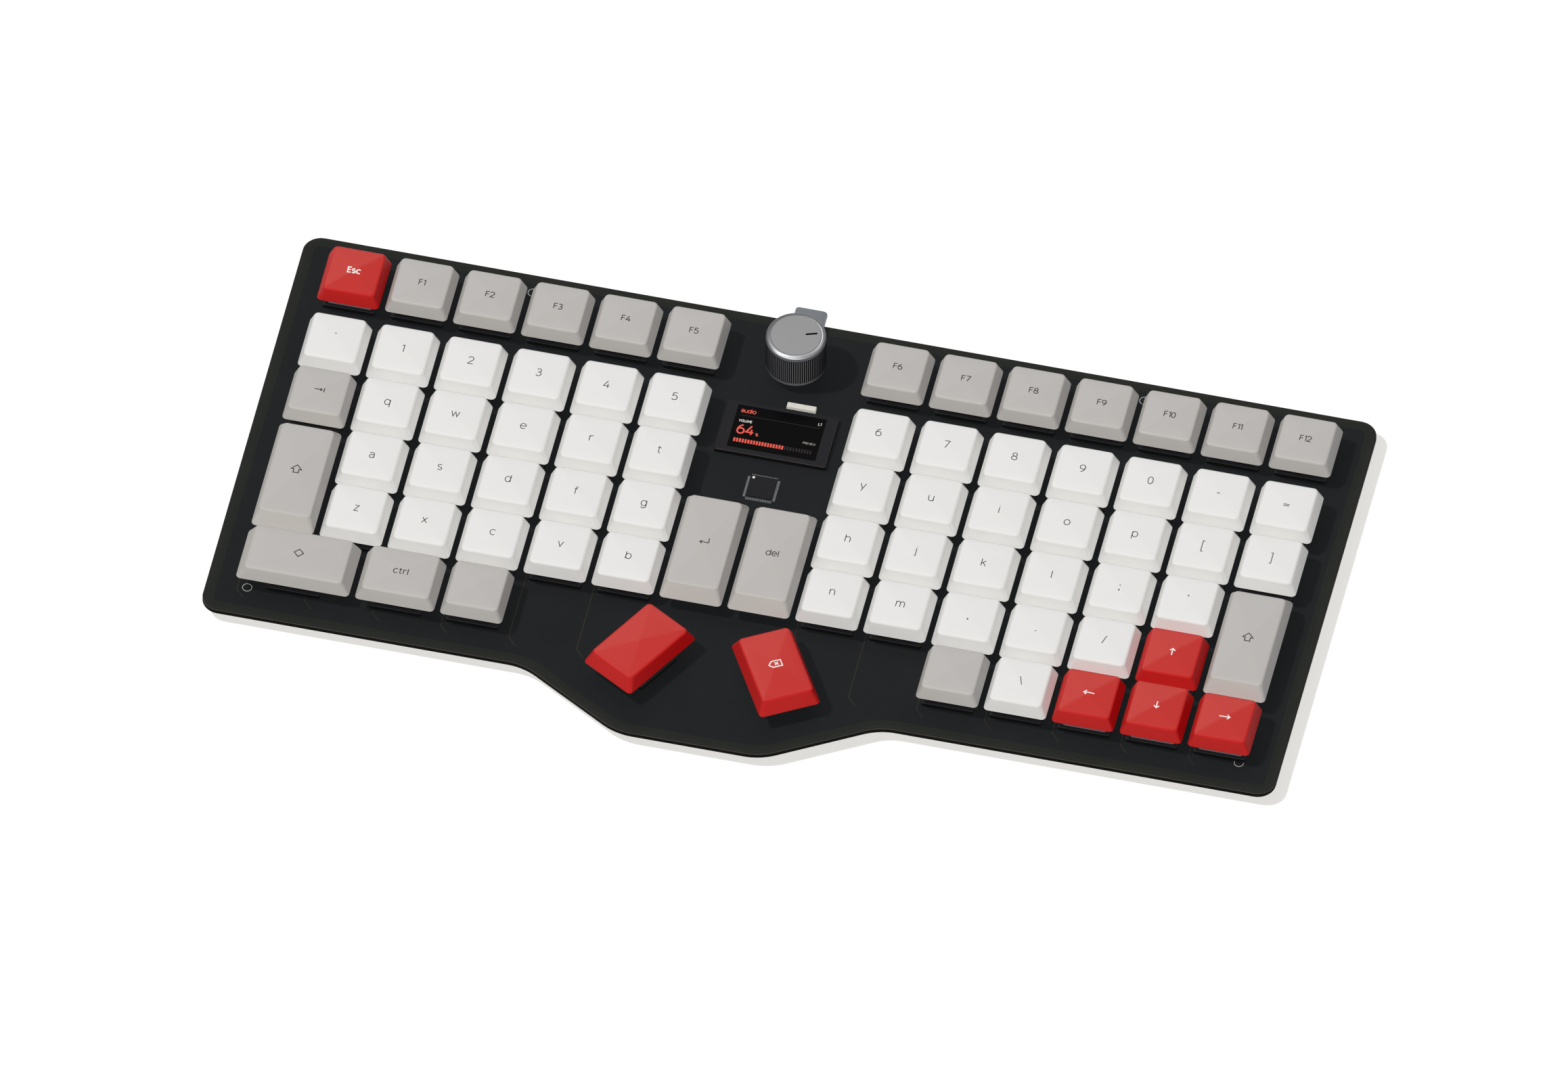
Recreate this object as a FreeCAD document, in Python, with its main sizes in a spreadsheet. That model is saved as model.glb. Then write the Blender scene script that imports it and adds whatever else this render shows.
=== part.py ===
import FreeCAD, Part
import math
import os

import Sketcher
from FreeCAD import Placement, Rotation, Vector

# Ergonomic keyboard: a bare black circuit board with a bulge at its front edge, low-profile
# switches, tapered keycaps in two halves, a ribbed knob, a small screen and a cable socket.
# Millimetres: X to the right, Y to the back, Z up. The origin is on the surface that the
# feet stand on, under the middle of the part's box.

os.makedirs("parts", exist_ok=True)
doc = FreeCAD.newDocument("ergonomic_keyboard")
sheet = doc.addObject("Spreadsheet::Sheet", "sizes")

driving = {
    "key_pitch": 19.05,
    "function_gap": 4.76,
    "thumb_drop": 9.05,
    "thumb_spread": 19.05,
    "thumb_angle": 30.0,
    "side_margin": 17.05,
    "back_margin": 16.7,
    "front_margin": 17.1,
    "bulge_depth": 17.1,
    "bulge_half_width": 49.9,
    "bulge_slope": 30.0,
    "bulge_radius": 17.0,
    "corner_radius": 5.1,
    "board_thickness": 1.6,
    "foot_height": 3.5,
    "foot_radius": 4.0,
    "front_foot_side_inset": 11.4,
    "front_foot_edge_inset": 9.6,
    "rear_foot_edge_inset": 6.2,
    "rear_foot_column": 4.5,
    "base_width": 14.5,
    "base_height": 1.4,
    "cover_width": 12.6,
    "cover_top_width": 11.4,
    "cover_height": 3.4,
    "key_travel": 2.8,
    "stop_gap": 0.3,
    "stem_width": 6.0,
    "stem_depth": 4.6,
    "stem_clearance": 0.15,
    "stem_end_gap": 0.1,
    "socket_length": 9.6,
    "socket_width": 4.7,
    "socket_height": 1.85,
    "socket_offset": 5.0,
    "cap_gap": 1.55,
    "cap_height": 4.3,
    "cap_roof": 1.3,
    "cap_side_taper": 1.3,
    "cap_front_taper": 0.95,
    "side_taper_growth": 1.0,
    "front_taper_growth": 1.5,
    "cap_corner": 1.2,
    "cap_rim": 0.6,
    "cap_crown": 0.35,
    "skirt_clearance": 0.3,
    "cap_wall": 1.1,
    "screen_drop": 23.95,
    "frame_length": 31.2,
    "frame_width": 17.7,
    "frame_height": 1.5,
    "screen_length": 24.7,
    "screen_width": 14.8,
    "screen_shift": 0.2,
    "screen_thickness": 0.5,
    "screen_clearance": 0.05,
    "connector_drop": 12.9,
    "connector_shift": 4.5,
    "connector_length": 8.25,
    "connector_width": 1.8,
    "connector_height": 1.0,
    "chip_drop": 42.8,
    "chip_width": 7.7,
    "chip_height": 1.0,
    "port_overhang": 2.5,
    "port_width": 8.94,
    "port_height": 3.2,
    "port_length": 7.9,
    "port_radius": 1.25,
    "port_wall": 0.3,
    "tongue_width": 6.7,
    "tongue_height": 0.7,
    "tongue_length": 5.0,
    "encoder_width": 9.6,
    "encoder_height": 2.7,
    "encoder_floor": 0.6,
    "encoder_roof": 0.8,
    "rotor_radius": 3.9,
    "rotor_clearance": 0.2,
    "bushing_radius": 3.9,
    "bushing_height": 2.8,
    "shaft_radius": 3.0,
    "shaft_flat": 1.5,
    "shaft_clearance": 0.08,
    "shaft_grip": 5.6,
    "knob_gap": 0.7,
    "knob_press": 0.5,
    "knob_radius": 8.4,
    "knob_inner_gap": 0.6,
    "knob_ring_height": 0.5,
    "knob_band_height": 10.3,
    "knob_bevel_height": 1.0,
    "knob_bevel_width": 1.5,
    "riblet_inset": 0.04,
    "riblet_height": 0.28,
    "riblet_root": 0.1,
    "pointer_length": 3.1,
    "pointer_width": 0.45,
    "pointer_depth": 0.3,
    "pointer_start": 2.7,
    "pointer_angle": 19.0,
}
for row, (alias, value) in enumerate(driving.items(), start=1):
    sheet.set(f"A{row}", alias)
    sheet.set(f"B{row}", str(value))
    sheet.setAlias(f"B{row}", alias)
doc.recompute()

sideColumns = 7
letterRows = 5
riblets = 88
detents = 24
overcut = 1.0


# Each length that several pieces share is one expression, kept as text. The text is bound
# to the pieces' properties. Only a sketch's first points and edge searches read it as a number.

def dim(alias):
    return f"sizes.{alias}"


def amount(expression):
    result = sheet.evalExpression(expression)
    return float(getattr(result, "Value", result))


splitX = f"(-0.5 * {dim('key_pitch')})"
boardTop = f"({dim('foot_height')} + {dim('board_thickness')})"
baseTop = f"({boardTop} + {dim('base_height')})"
coverTop = f"({baseTop} + {dim('cover_height')})"
roofUnder = f"({coverTop} + {dim('key_travel')} + {dim('stop_gap')})"
rimTop = f"({roofUnder} + {dim('cap_roof')})"
capFoot = f"({rimTop} - {dim('cap_height')})"
stemFoot = f"({baseTop} + {dim('key_travel')} + {dim('stem_end_gap')})"
halfWidth = f"({sideColumns} * {dim('key_pitch')} + {dim('side_margin')})"
keyField = f"({letterRows} * {dim('key_pitch')} + {dim('function_gap')})"
boardDepth = f"({dim('back_margin')} + {keyField} + {dim('front_margin')} + {dim('bulge_depth')})"
backEdge = f"((({boardDepth}) - {dim('port_overhang')}) / 2)"
firstRow = f"({backEdge} - {dim('back_margin')})"
frontEdge = f"({firstRow} - {keyField} - {dim('front_margin')})"
bulgeEdge = f"({frontEdge} - {dim('bulge_depth')})"
bulgeNose = f"({dim('bulge_half_width')} - {dim('bulge_depth')} / tan({dim('bulge_slope')} * 1deg))"
glassFoot = f"({boardTop} + {dim('frame_height')} - {dim('screen_thickness')})"
chamberFoot = f"({boardTop} + {dim('encoder_floor')})"
chamberHeight = f"({dim('encoder_height')} - {dim('encoder_floor')} - {dim('encoder_roof')})"
bushingTop = f"({boardTop} + {dim('encoder_height')} + {dim('bushing_height')})"
knobFoot = f"({boardTop} + {dim('encoder_height')} + {dim('knob_gap')})"
knobInner = f"({bushingTop} + {dim('knob_press')} + {dim('knob_inner_gap')})"
shaftTop = f"({knobInner} + {dim('shaft_grip')})"
knobCentre = (splitX, firstRow)


# Helpers

def bind(item, **expressions):
    for name, expression in expressions.items():
        item.setExpression(name.replace("__", "."), expression)
    return item


def new_body(label):
    body = doc.addObject("PartDesign::Body", label)
    body.Label = label
    return body


def origin_part(body, role):
    return [item for item in body.Origin.OriginFeatures if item.Role == role][0]


def attached(body, kind, name, role="XY_Plane"):
    item = body.newObject(kind, name)
    item.AttachmentSupport = [(origin_part(body, role), "")]
    item.MapMode = "FlatFace"
    return item


# A straight block in a body, given by its middle in X and Y and its foot in Z.
def straight_block(body, kind, name, length, width, rise, middle, foot):
    block = attached(body, f"PartDesign::{kind}Box", name)
    bind(block, Length=length, Width=width, Height=rise, AttachmentOffset__Base__z=foot)
    bind(block, AttachmentOffset__Base__x=f"{middle[0]} - ({length}) / 2")
    return bind(block, AttachmentOffset__Base__y=f"{middle[1]} - ({width}) / 2")


# A closed outline in a sketch, each corner held at its signed distances from the origin.
def outline(body, name, role, corners):
    sketch = attached(body, "Sketcher::SketchObject", name, role)
    points = [Vector(amount(x), amount(y), 0) for x, y in corners]
    lines = [sketch.addGeometry(Part.LineSegment(start, end), False)
             for start, end in zip(points, points[1:] + points[:1])]
    for here, (line, corner) in enumerate(zip(lines, corners)):
        sketch.addConstraint(Sketcher.Constraint("Coincident", lines[here - 1], 2, line, 1))
        for kind, expression in zip(("DistanceX", "DistanceY"), corner):
            held = sketch.addConstraint(Sketcher.Constraint(kind, -1, 1, line, 1, amount(expression)))
            sketch.renameConstraint(held, f"{kind}_{here}")
            sketch.setExpression(f"Constraints.{kind}_{here}", expression)
    return sketch


# Loose primitives, placed by their middle in X and Y and their foot in Z.
def box(name, length, width, height, middle, foot):
    block = doc.addObject("Part::Box", name)
    bind(block, Length=length, Width=width, Height=height, Placement__Base__z=foot)
    bind(block, Placement__Base__x=f"{middle[0]} - ({length}) / 2")
    return bind(block, Placement__Base__y=f"{middle[1]} - ({width}) / 2")


# A block that narrows from a low rectangle to a high one, centred on the Z axis.
def frustum(name, low, high, foot, rise, turn=0):
    block = doc.addObject("Part::Wedge", name)
    bind(block, Placement=f"placement(vector(0; 0; {foot}); rotation({turn}; 0; 90))")
    bind(block, Ymin="0", Ymax=rise)
    for end, sign in (("min", "-"), ("max", "")):
        bind(block, **{f"X{end}": f"{sign}({low[0]}) / 2", f"Z{end}": f"{sign}({low[1]}) / 2"})
        bind(block, **{f"X2{end}": f"{sign}({high[0]}) / 2", f"Z2{end}": f"{sign}({high[1]}) / 2"})
    return block


def cylinder(name, radius, height, middle, foot):
    drum = doc.addObject("Part::Cylinder", name)
    bind(drum, Radius=radius, Height=height, Placement__Base__z=foot)
    return bind(drum, Placement__Base__x=middle[0], Placement__Base__y=middle[1])


# A cylinder round the knob's axis with a flat along its back.
def flatted_cylinder(name, radius, flat, height, foot):
    drum = cylinder(name + "_round", radius, height, knobCentre, foot)
    span = f"2 * {dim('knob_radius')}"
    middle = (splitX, f"({firstRow} + {flat} + {dim('knob_radius')})")
    back = box(name + "_back", span, span, f"{height} + {2 * overcut}", middle, f"{foot} - {overcut}")
    return boolean("Cut", name, drum, back)


def boolean(kind, name, base, tool):
    item = doc.addObject(f"Part::{kind}", name)
    item.Base = base
    item.Tool = tool
    return item


# A placed copy of a pattern piece, at (x, y) and turned about Z, or at an earlier copy's place.
def copied(pattern, place):
    copy = doc.addObject("App::Link", f"{pattern.Name}_copy")
    copy.LinkedObject = pattern
    if isinstance(place, tuple):
        place = "placement(vector({}; {}; 0); rotation(vector(0; 0; 1); {}))".format(*place)
    return bind(copy, Placement=place)


def gathered(label, copies):
    node = doc.addObject("Part::Compound", label)
    node.Links = copies
    return node


def edges_where(shape, wanted):
    return [f"Edge{i}" for i, edge in enumerate(shape.Edges, start=1)
            if len(edge.Vertexes) == 2 and wanted(*(vertex.Point for vertex in edge.Vertexes))]


# Circuit board: the plate's outline is straight, and its corners are rounded afterwards.
def circuit_board():
    body = new_body("circuit_board")
    corners = (
        (f"-{halfWidth}", backEdge),
        (f"-{halfWidth}", frontEdge),
        (f"{splitX} - {dim('bulge_half_width')}", frontEdge),
        (f"{splitX} - {bulgeNose}", bulgeEdge),
        (f"{splitX} + {bulgeNose}", bulgeEdge),
        (f"{splitX} + {dim('bulge_half_width')}", frontEdge),
        (halfWidth, frontEdge),
        (halfWidth, backEdge),
    )
    sketch = outline(body, "board_outline", "XY_Plane", corners)
    bind(sketch, AttachmentOffset__Base__z=dim("foot_height"))
    plate = body.newObject("PartDesign::Pad", "plate")
    plate.Profile = sketch
    bind(plate, Length=dim("board_thickness"))
    doc.recompute()
    middle = amount(splitX)
    reach = amount(dim("bulge_half_width")) + 1

    def upright(low, high):
        return math.hypot(low.x - high.x, low.y - high.y) < 0.001

    outer = body.newObject("PartDesign::Fillet", "outer_corners")
    outer.Base = (plate, edges_where(plate.Shape, lambda a, b: upright(a, b) and abs(a.x - middle) > reach))
    bind(outer, Radius=dim("corner_radius"))
    doc.recompute()
    bulge = body.newObject("PartDesign::Fillet", "bulge_corners")
    bulge.Base = (outer, edges_where(outer.Shape, lambda a, b: upright(a, b) and abs(a.x - middle) < reach))
    bind(bulge, Radius=dim("bulge_radius"))
    return body


# Rubber feet: four round pads, stuck under the board.
def rubber_feet():
    pad = cylinder("foot_pattern", dim("foot_radius"), dim("foot_height"), ("0", "0"), "0")
    frontX = f"({halfWidth} - {dim('front_foot_side_inset')})"
    frontY = f"({frontEdge} + {dim('front_foot_edge_inset')})"
    rearX = f"({dim('rear_foot_column')} * {dim('key_pitch')})"
    rearY = f"({backEdge} - {dim('rear_foot_edge_inset')})"
    return gathered("rubber_feet", [copied(pad, (f"{side}{x}", y, "0"))
                                    for x, y in ((frontX, frontY), (rearX, rearY)) for side in ("-", "")])


# Screen module: a black frame with a recess, and the glass panel that lies in it.
def screen_module():
    middle = (splitX, f"({firstRow} - {dim('screen_drop')})")
    glassMiddle = (splitX, f"({middle[1]} + {dim('screen_shift')})")
    slab = box("frame_slab", dim("frame_length"), dim("frame_width"), dim("frame_height"), middle, boardTop)
    play = f"2 * {dim('screen_clearance')}"
    recess = box("frame_recess", f"{dim('screen_length')} + {play}", f"{dim('screen_width')} + {play}",
                 f"{dim('screen_thickness')} + {overcut}", glassMiddle, glassFoot)
    glass = box("display_screen", dim("screen_length"), dim("screen_width"), dim("screen_thickness"),
                glassMiddle, glassFoot)
    connector = box("display_connector", dim("connector_length"), dim("connector_width"),
                    dim("connector_height"), (f"({splitX} + {dim('connector_shift')})",
                                              f"({firstRow} - {dim('connector_drop')})"), boardTop)
    return [boolean("Cut", "display_frame", slab, recess), glass, connector]


# Cable socket: a thin metal tube with rounded corners, open to the back, and a flat tongue
# that stands on the tube's end wall.
def cable_socket():
    body = new_body("usb_shell")
    mouth = f"({backEdge} + {dim('port_overhang')})"
    tube = straight_block(body, "Additive", "tube", dim("port_width"), dim("port_length"), dim("port_height"),
                          (splitX, f"({mouth} - {dim('port_length')} / 2)"), boardTop)
    doc.recompute()
    corners = body.newObject("PartDesign::Fillet", "tube_corners")
    corners.Base = (tube, edges_where(tube.Shape, lambda a, b: abs(a.y - b.y) > 0.001))
    bind(corners, Radius=dim("port_radius"))
    doc.recompute()
    openFace = max(range(len(corners.Shape.Faces)), key=lambda i: corners.Shape.Faces[i].CenterOfMass.y)
    hollow = body.newObject("PartDesign::Thickness", "tube_hollow")
    hollow.Base = (corners, [f"Face{openFace + 1}"])
    hollow.Reversed = True
    bind(hollow, Value=dim("port_wall"))
    endWall = f"({mouth} - {dim('port_length')} + {dim('port_wall')})"
    tongue = box("usb_tongue", dim("tongue_width"), dim("tongue_length"), dim("tongue_height"),
                 (splitX, f"({endWall} + {dim('tongue_length')} / 2)"),
                 f"({boardTop} + ({dim('port_height')} - {dim('tongue_height')}) / 2)")
    return [body, tongue]


# Rotary encoder under the knob: a housing with a bushing, a rotor in the housing's chamber
# with one flat per click, and a flatted shaft that turns with the rotor and slides through it.
def encoder():
    width = dim("encoder_width")
    chamberWidth = f"2 * ({dim('rotor_radius')} + {dim('rotor_clearance')})"
    housing = box("encoder_housing", width, width, dim("encoder_height"), knobCentre, boardTop)
    bushing = cylinder("encoder_bushing", dim("bushing_radius"), f"{bushingTop} - {boardTop}", knobCentre,
                       boardTop)
    chamber = box("encoder_chamber", chamberWidth, chamberWidth, chamberHeight, knobCentre, chamberFoot)
    bore = cylinder("encoder_bore", f"{dim('shaft_radius')} + {dim('shaft_clearance')}",
                    f"{bushingTop} - {chamberFoot}", knobCentre, chamberFoot)
    outside = boolean("Fuse", "encoder_outside", housing, bushing)
    inside = boolean("Fuse", "encoder_inside", chamber, bore)
    body = boolean("Cut", "encoder_body", outside, inside)

    rotorFoot = f"({chamberFoot} + {dim('rotor_clearance')})"
    rotorHeight = f"({chamberHeight} - 2 * {dim('rotor_clearance')})"
    wheel = doc.addObject("Part::Prism", "rotor_wheel")
    wheel.Polygon = detents
    bind(wheel, Circumradius=dim("rotor_radius"), Height=rotorHeight, Placement__Base__x=splitX)
    bind(wheel, Placement__Base__y=firstRow, Placement__Base__z=rotorFoot)
    hole = flatted_cylinder("rotor_hole", f"{dim('shaft_radius')} + {dim('shaft_clearance')}",
                            f"({dim('shaft_flat')} + {dim('shaft_clearance')})",
                            f"{rotorHeight} + {2 * overcut}", f"{rotorFoot} - {overcut}")
    rotor = boolean("Cut", "encoder_rotor", wheel, hole)
    shaftFoot = f"({chamberFoot} + {dim('knob_press')} + {dim('stem_end_gap')})"
    shaft = flatted_cylinder("encoder_shaft", dim("shaft_radius"), dim("shaft_flat"),
                             f"({shaftTop} - {shaftFoot})", shaftFoot)
    return [body, rotor, shaft]


# Knob: turned, with a plain foot ring, a band of fine upright riblets, a bright bevel and a
# flat top with a pointer line. Its flatted bore is pressed on the encoder's shaft.
def ribbed_knob():
    body = new_body("knob_turning")
    bind(body, Placement__Base__x=splitX, Placement__Base__y=firstRow)
    radius = dim("knob_radius")
    bandFoot = f"({knobFoot} + {dim('knob_ring_height')})"
    bandTop = f"({bandFoot} + {dim('knob_band_height')})"
    top = f"({bandTop} + {dim('knob_bevel_height')})"
    hollow = f"({dim('bushing_radius')} + {dim('knob_gap')})"
    tip = f"({radius} - {dim('riblet_inset')})"
    valley = f"({tip} - {dim('riblet_height')})"
    core = f"({valley} - {dim('riblet_root')})"
    turning = body.newObject("PartDesign::Revolution", "turning")
    turning.Profile = outline(body, "half_section", "XZ_Plane", (
        ("0", knobInner), (hollow, knobInner), (hollow, knobFoot), (radius, knobFoot), (radius, bandFoot),
        (core, bandFoot), (core, bandTop), (radius, bandTop), (f"{radius} - {dim('knob_bevel_width')}", top),
        ("0", top)))
    turning.ReferenceAxis = (turning.Profile[0], ["V_Axis"])
    turning.Angle = 360
    doc.recompute()

    # A riblet's two flanks meet its neighbours' flanks in the valleys, outside the core.
    step = f"({180 / riblets} * 1deg)"
    root = f"({core} - {dim('riblet_root')})"
    flank = f"({valley} * sin{step} / ({tip} - {valley} * cos{step}))"
    spread = f"(({tip} - {root}) * {flank})"
    section = outline(body, "riblet_section", "XY_Plane", ((tip, "0"), (root, spread), (root, f"-{spread}")))
    bind(section, AttachmentOffset__Base__z=bandFoot)
    riblet = body.newObject("PartDesign::Pad", "riblet")
    riblet.Profile = section
    bind(riblet, Length=dim("knob_band_height"))
    doc.recompute()
    band = body.newObject("PartDesign::PolarPattern", "riblet_band")
    band.Originals = [riblet]
    band.Axis = (origin_part(body, "Z_Axis"), [""])
    band.Angle = 360
    band.Occurrences = riblets
    body.Tip = band
    doc.recompute()

    pointer = attached(body, "PartDesign::SubtractiveBox", "pointer")
    bind(pointer, Length=dim("pointer_length"), Width=dim("pointer_width"))
    bind(pointer, Height=f"{dim('pointer_depth')} + {overcut}")
    turn = f"({dim('pointer_angle')} * 1deg)"
    along, across = dim("pointer_start"), f"{dim('pointer_width')} / 2"
    corner = (f"vector({along} * cos{turn} + {across} * sin{turn}; {along} * sin{turn} - {across} * cos{turn};"
              f" {top} - {dim('pointer_depth')})")
    bind(pointer, AttachmentOffset=f"placement({corner}; rotation(vector(0; 0; 1); {dim('pointer_angle')}))")
    bore = flatted_cylinder("knob_bore", dim("shaft_radius"), dim("shaft_flat"),
                            f"({shaftTop} + {dim('stem_end_gap')} - {knobInner} + {overcut})",
                            f"({knobInner} - {overcut})")
    return boolean("Cut", "knob", body, bore)


# Switch housing: a square flange on the board and a tapered upper part, with a well that the
# keycap's stem slides in.
def housing_pattern():
    flange = box("housing_flange", *[dim("base_width")] * 2, dim("base_height"), ("0", "0"), boardTop)
    cover = frustum("housing_cover", [dim("cover_width")] * 2, [dim("cover_top_width")] * 2,
                    baseTop, dim("cover_height"))
    sides = [f"({dim(size)} + 2 * {dim('stem_clearance')})" for size in ("stem_width", "stem_depth")]
    well = box("housing_well", *sides, f"{dim('cover_height')} + {overcut}", ("0", "0"), baseTop)
    return boolean("Cut", "housing_pattern", boolean("Fuse", "housing_outside", flange, cover), well)


# Keycap with its stem: a hollow tapered block with cut corners, a bevelled rim and a top that
# rises to the middle. The skirt clears the switch at the end of the travel.
def keycap_pattern(wide, deep):
    name = f"keycap_{wide}_{deep}".replace(".", "_")
    rim, crown = dim("cap_rim"), dim("cap_crown")
    feet = [f"({units} * {dim('key_pitch')} - {dim('cap_gap')})" for units in (wide, deep)]
    tapers = [f"({dim(f'cap_{side}_taper')} + {units - 1} * {dim(f'{side}_taper_growth')})"
              for side, units in (("side", wide), ("front", deep))]
    shoulders = [f"({foot} - 2 * {taper})" for foot, taper in zip(feet, tapers)]
    tops = [f"({shoulder} - 2 * {rim})" for shoulder in shoulders]
    ridge = [f"({units - 1} * {dim('key_pitch')})" for units in (wide, deep)]
    bevelFoot = f"({rimTop} - {rim})"
    skirtRise = f"({bevelFoot} - {capFoot})"
    outside = doc.addObject("Part::MultiFuse", f"{name}_outside")
    outside.Shapes = [frustum(f"{name}_skirt", feet, shoulders, capFoot, skirtRise),
                      frustum(f"{name}_rim", shoulders, tops, bevelFoot, rim),
                      frustum(f"{name}_crown", tops, ridge, rimTop, crown)]

    # The corners are cut by a square that is turned by 45 degrees and narrows in the same way.
    def square(sizes, inset="0"):
        reach = f"(({sizes[0]} + {sizes[1]}) / 2 - {dim('cap_corner')})"
        return [f"(sqrt(2) * {reach} - 2 * {inset})"] * 2

    corners = boolean("Fuse", f"{name}_corners",
                      frustum(f"{name}_low", square(feet), square(shoulders), capFoot, skirtRise, 45),
                      frustum(f"{name}_high", square(shoulders), square(shoulders, f"({rim} + {crown})"),
                              bevelFoot, f"({rim} + {crown})", 45))
    wall = f"({dim('key_pitch')} - {dim('cap_gap')} - {dim('base_width')} - 2 * {dim('skirt_clearance')})"
    hollow = frustum(f"{name}_hollow", [f"({foot} - {wall})" for foot in feet],
                     [f"({shoulder} - 2 * {dim('cap_wall')})" for shoulder in shoulders],
                     capFoot, f"({roofUnder} - {capFoot})")
    shell = boolean("Cut", f"{name}_shell", boolean("Common", f"{name}_block", outside, corners), hollow)
    stem = box(f"{name}_stem", dim("stem_width"), dim("stem_depth"), f"({roofUnder} - {stemFoot})",
               ("0", "0"), stemFoot)
    return boolean("Fuse", name, shell, stem)


# Key layout. A column counts from 0 at the left edge, and row 0 is the function row. The
# letter rows follow it in front, after a small gap. Each node holds one key or two
# neighbours, and each key is (place, units wide, units deep).
keys = {}


def row_y(row):
    gap = dim("function_gap") if row else "0"
    return f"({firstRow} - {row} * {dim('key_pitch')} - {gap})"


def seat(column, row):
    return (f"(({column} - {sideColumns}) * {dim('key_pitch')})", row_y(row), "0")


def add_keys(label, *seats, wide=1, deep=1):
    keys[label] = [(place, wide, deep) for place in seats]


leftColumns, rightColumns = range(1, 6), range(8, 15)
tallRow = 3.5
words = {";": "semicolon", ",": "comma", ".": "period", "/": "slash"}
for letters, columns in (("12345 qwert asdfg zxcvb", leftColumns), ("67890 yuiop hjkl; nm,./", rightColumns)):
    rows = [[words.get(mark, mark) for mark in row] for row in letters.split()]
    for column, digit, upper, home, lower in zip(columns, *rows):
        add_keys(f"keys_{digit}_{upper}", seat(column, 1), seat(column, 2))
        add_keys(f"keys_{home}_{lower}", seat(column, 3), seat(column, 4))
add_keys("keys_minus_bracket_left", seat(13, 1), seat(13, 2))
add_keys("keys_equals_bracket_right", seat(14, 1), seat(14, 2))
functionSeats = [seat(column, 0) for column in (*leftColumns, *rightColumns)]
for first in range(1, 13, 2):
    add_keys(f"keys_f{first}_f{first + 1}", *functionSeats[first - 1:first + 1])
keys["keys_control_blank"] = [(seat(1.875, letterRows), 1.25, 1), (seat(3, letterRows), 1, 1)]
for name, column, row in (("escape", 0, 0), ("backquote", 0, 1), ("tab", 0, 2), ("quote", 13, 3),
                          ("arrow_up", 13, 4), ("blank", 10, letterRows), ("backslash", 11, letterRows),
                          ("arrow_left", 12, letterRows), ("arrow_down", 13, letterRows),
                          ("arrow_right", 14, letterRows)):
    add_keys(f"key_{name}", seat(column, row))
for name, column in (("shift_left", 0), ("enter", 6), ("delete", 7), ("shift_right", 14)):
    add_keys(f"key_{name}", seat(column, tallRow), deep=2)
add_keys("key_command", seat(0.375, letterRows), wide=1.75)
for name, sign in (("left", "-"), ("right", "+")):
    place = (f"({splitX} {sign} {dim('thumb_spread')})", f"({row_y(letterRows)} - {dim('thumb_drop')})",
             f"{sign}{dim('thumb_angle')}")
    add_keys(f"key_thumb_{name}", place, deep=1.5)

# Moving keys, each a placed copy of the pattern of its size

nodes = [circuit_board(), rubber_feet()]
patterns = {size: keycap_pattern(*size) for size in sorted({key[1:] for pair in keys.values() for key in pair})}
keyNodes = [gathered(label, [copied(patterns[wide, deep], place) for place, wide, deep in pair])
            for label, pair in keys.items()]

# Switch pieces, copied to the place of each keycap: the housing stands on the board, and the
# socket lies under it.
switchPieces = {
    "switch_housings": housing_pattern(),
    "hotswap_sockets": box("socket_pattern", dim("socket_length"), dim("socket_width"), dim("socket_height"),
                           ("0", dim("socket_offset")), f"{dim('foot_height')} - {dim('socket_height')}"),
}
for label, piece in switchPieces.items():
    holder = doc.addObject("Part::Compound", f"{label}_piece")
    holder.Links = [piece]
    nodes.append(gathered(label, [copied(holder, f"{cap.Name}.Placement")
                                  for node in keyNodes for cap in node.Links]))
nodes += screen_module()
nodes.append(box("microcontroller", dim("chip_width"), dim("chip_width"), dim("chip_height"),
                 (splitX, f"({firstRow} - {dim('chip_drop')})"), boardTop))
nodes += cable_socket()
nodes += encoder()
nodes.append(ribbed_knob())
nodes += keyNodes
doc.recompute()

# Every object and every node's shape is checked before anything is written.
for item in doc.Objects:
    if {"Invalid", "Error"} & set(item.State):
        raise RuntimeError(f"{item.Label} failed: {item.State}")
for node in nodes:
    if node.Shape.isNull() or not node.Shape.isValid():
        raise RuntimeError(f"{node.Label} has no valid shape")
for node in nodes:
    node.Shape.exportStep(f"parts/{node.Label}.step")
print(f"{len(nodes)} nodes, {sum(len(node.Shape.Solids) for node in nodes)} solids")
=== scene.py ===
import math

import bmesh
import bpy
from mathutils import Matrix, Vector


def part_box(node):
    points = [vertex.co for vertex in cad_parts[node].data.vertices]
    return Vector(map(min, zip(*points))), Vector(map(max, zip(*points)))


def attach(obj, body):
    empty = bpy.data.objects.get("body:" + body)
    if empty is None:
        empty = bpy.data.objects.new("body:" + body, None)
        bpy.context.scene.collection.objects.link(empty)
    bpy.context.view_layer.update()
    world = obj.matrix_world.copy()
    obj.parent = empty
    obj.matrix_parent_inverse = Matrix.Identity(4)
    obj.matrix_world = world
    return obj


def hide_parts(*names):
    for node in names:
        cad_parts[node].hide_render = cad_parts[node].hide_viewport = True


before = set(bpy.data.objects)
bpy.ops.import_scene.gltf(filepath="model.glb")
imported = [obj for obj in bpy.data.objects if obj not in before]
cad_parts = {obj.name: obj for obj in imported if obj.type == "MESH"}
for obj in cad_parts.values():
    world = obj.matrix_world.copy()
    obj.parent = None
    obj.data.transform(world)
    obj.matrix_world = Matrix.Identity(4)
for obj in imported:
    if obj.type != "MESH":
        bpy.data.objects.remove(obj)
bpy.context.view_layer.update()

mm = 0.001
scene = bpy.context.scene

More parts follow.
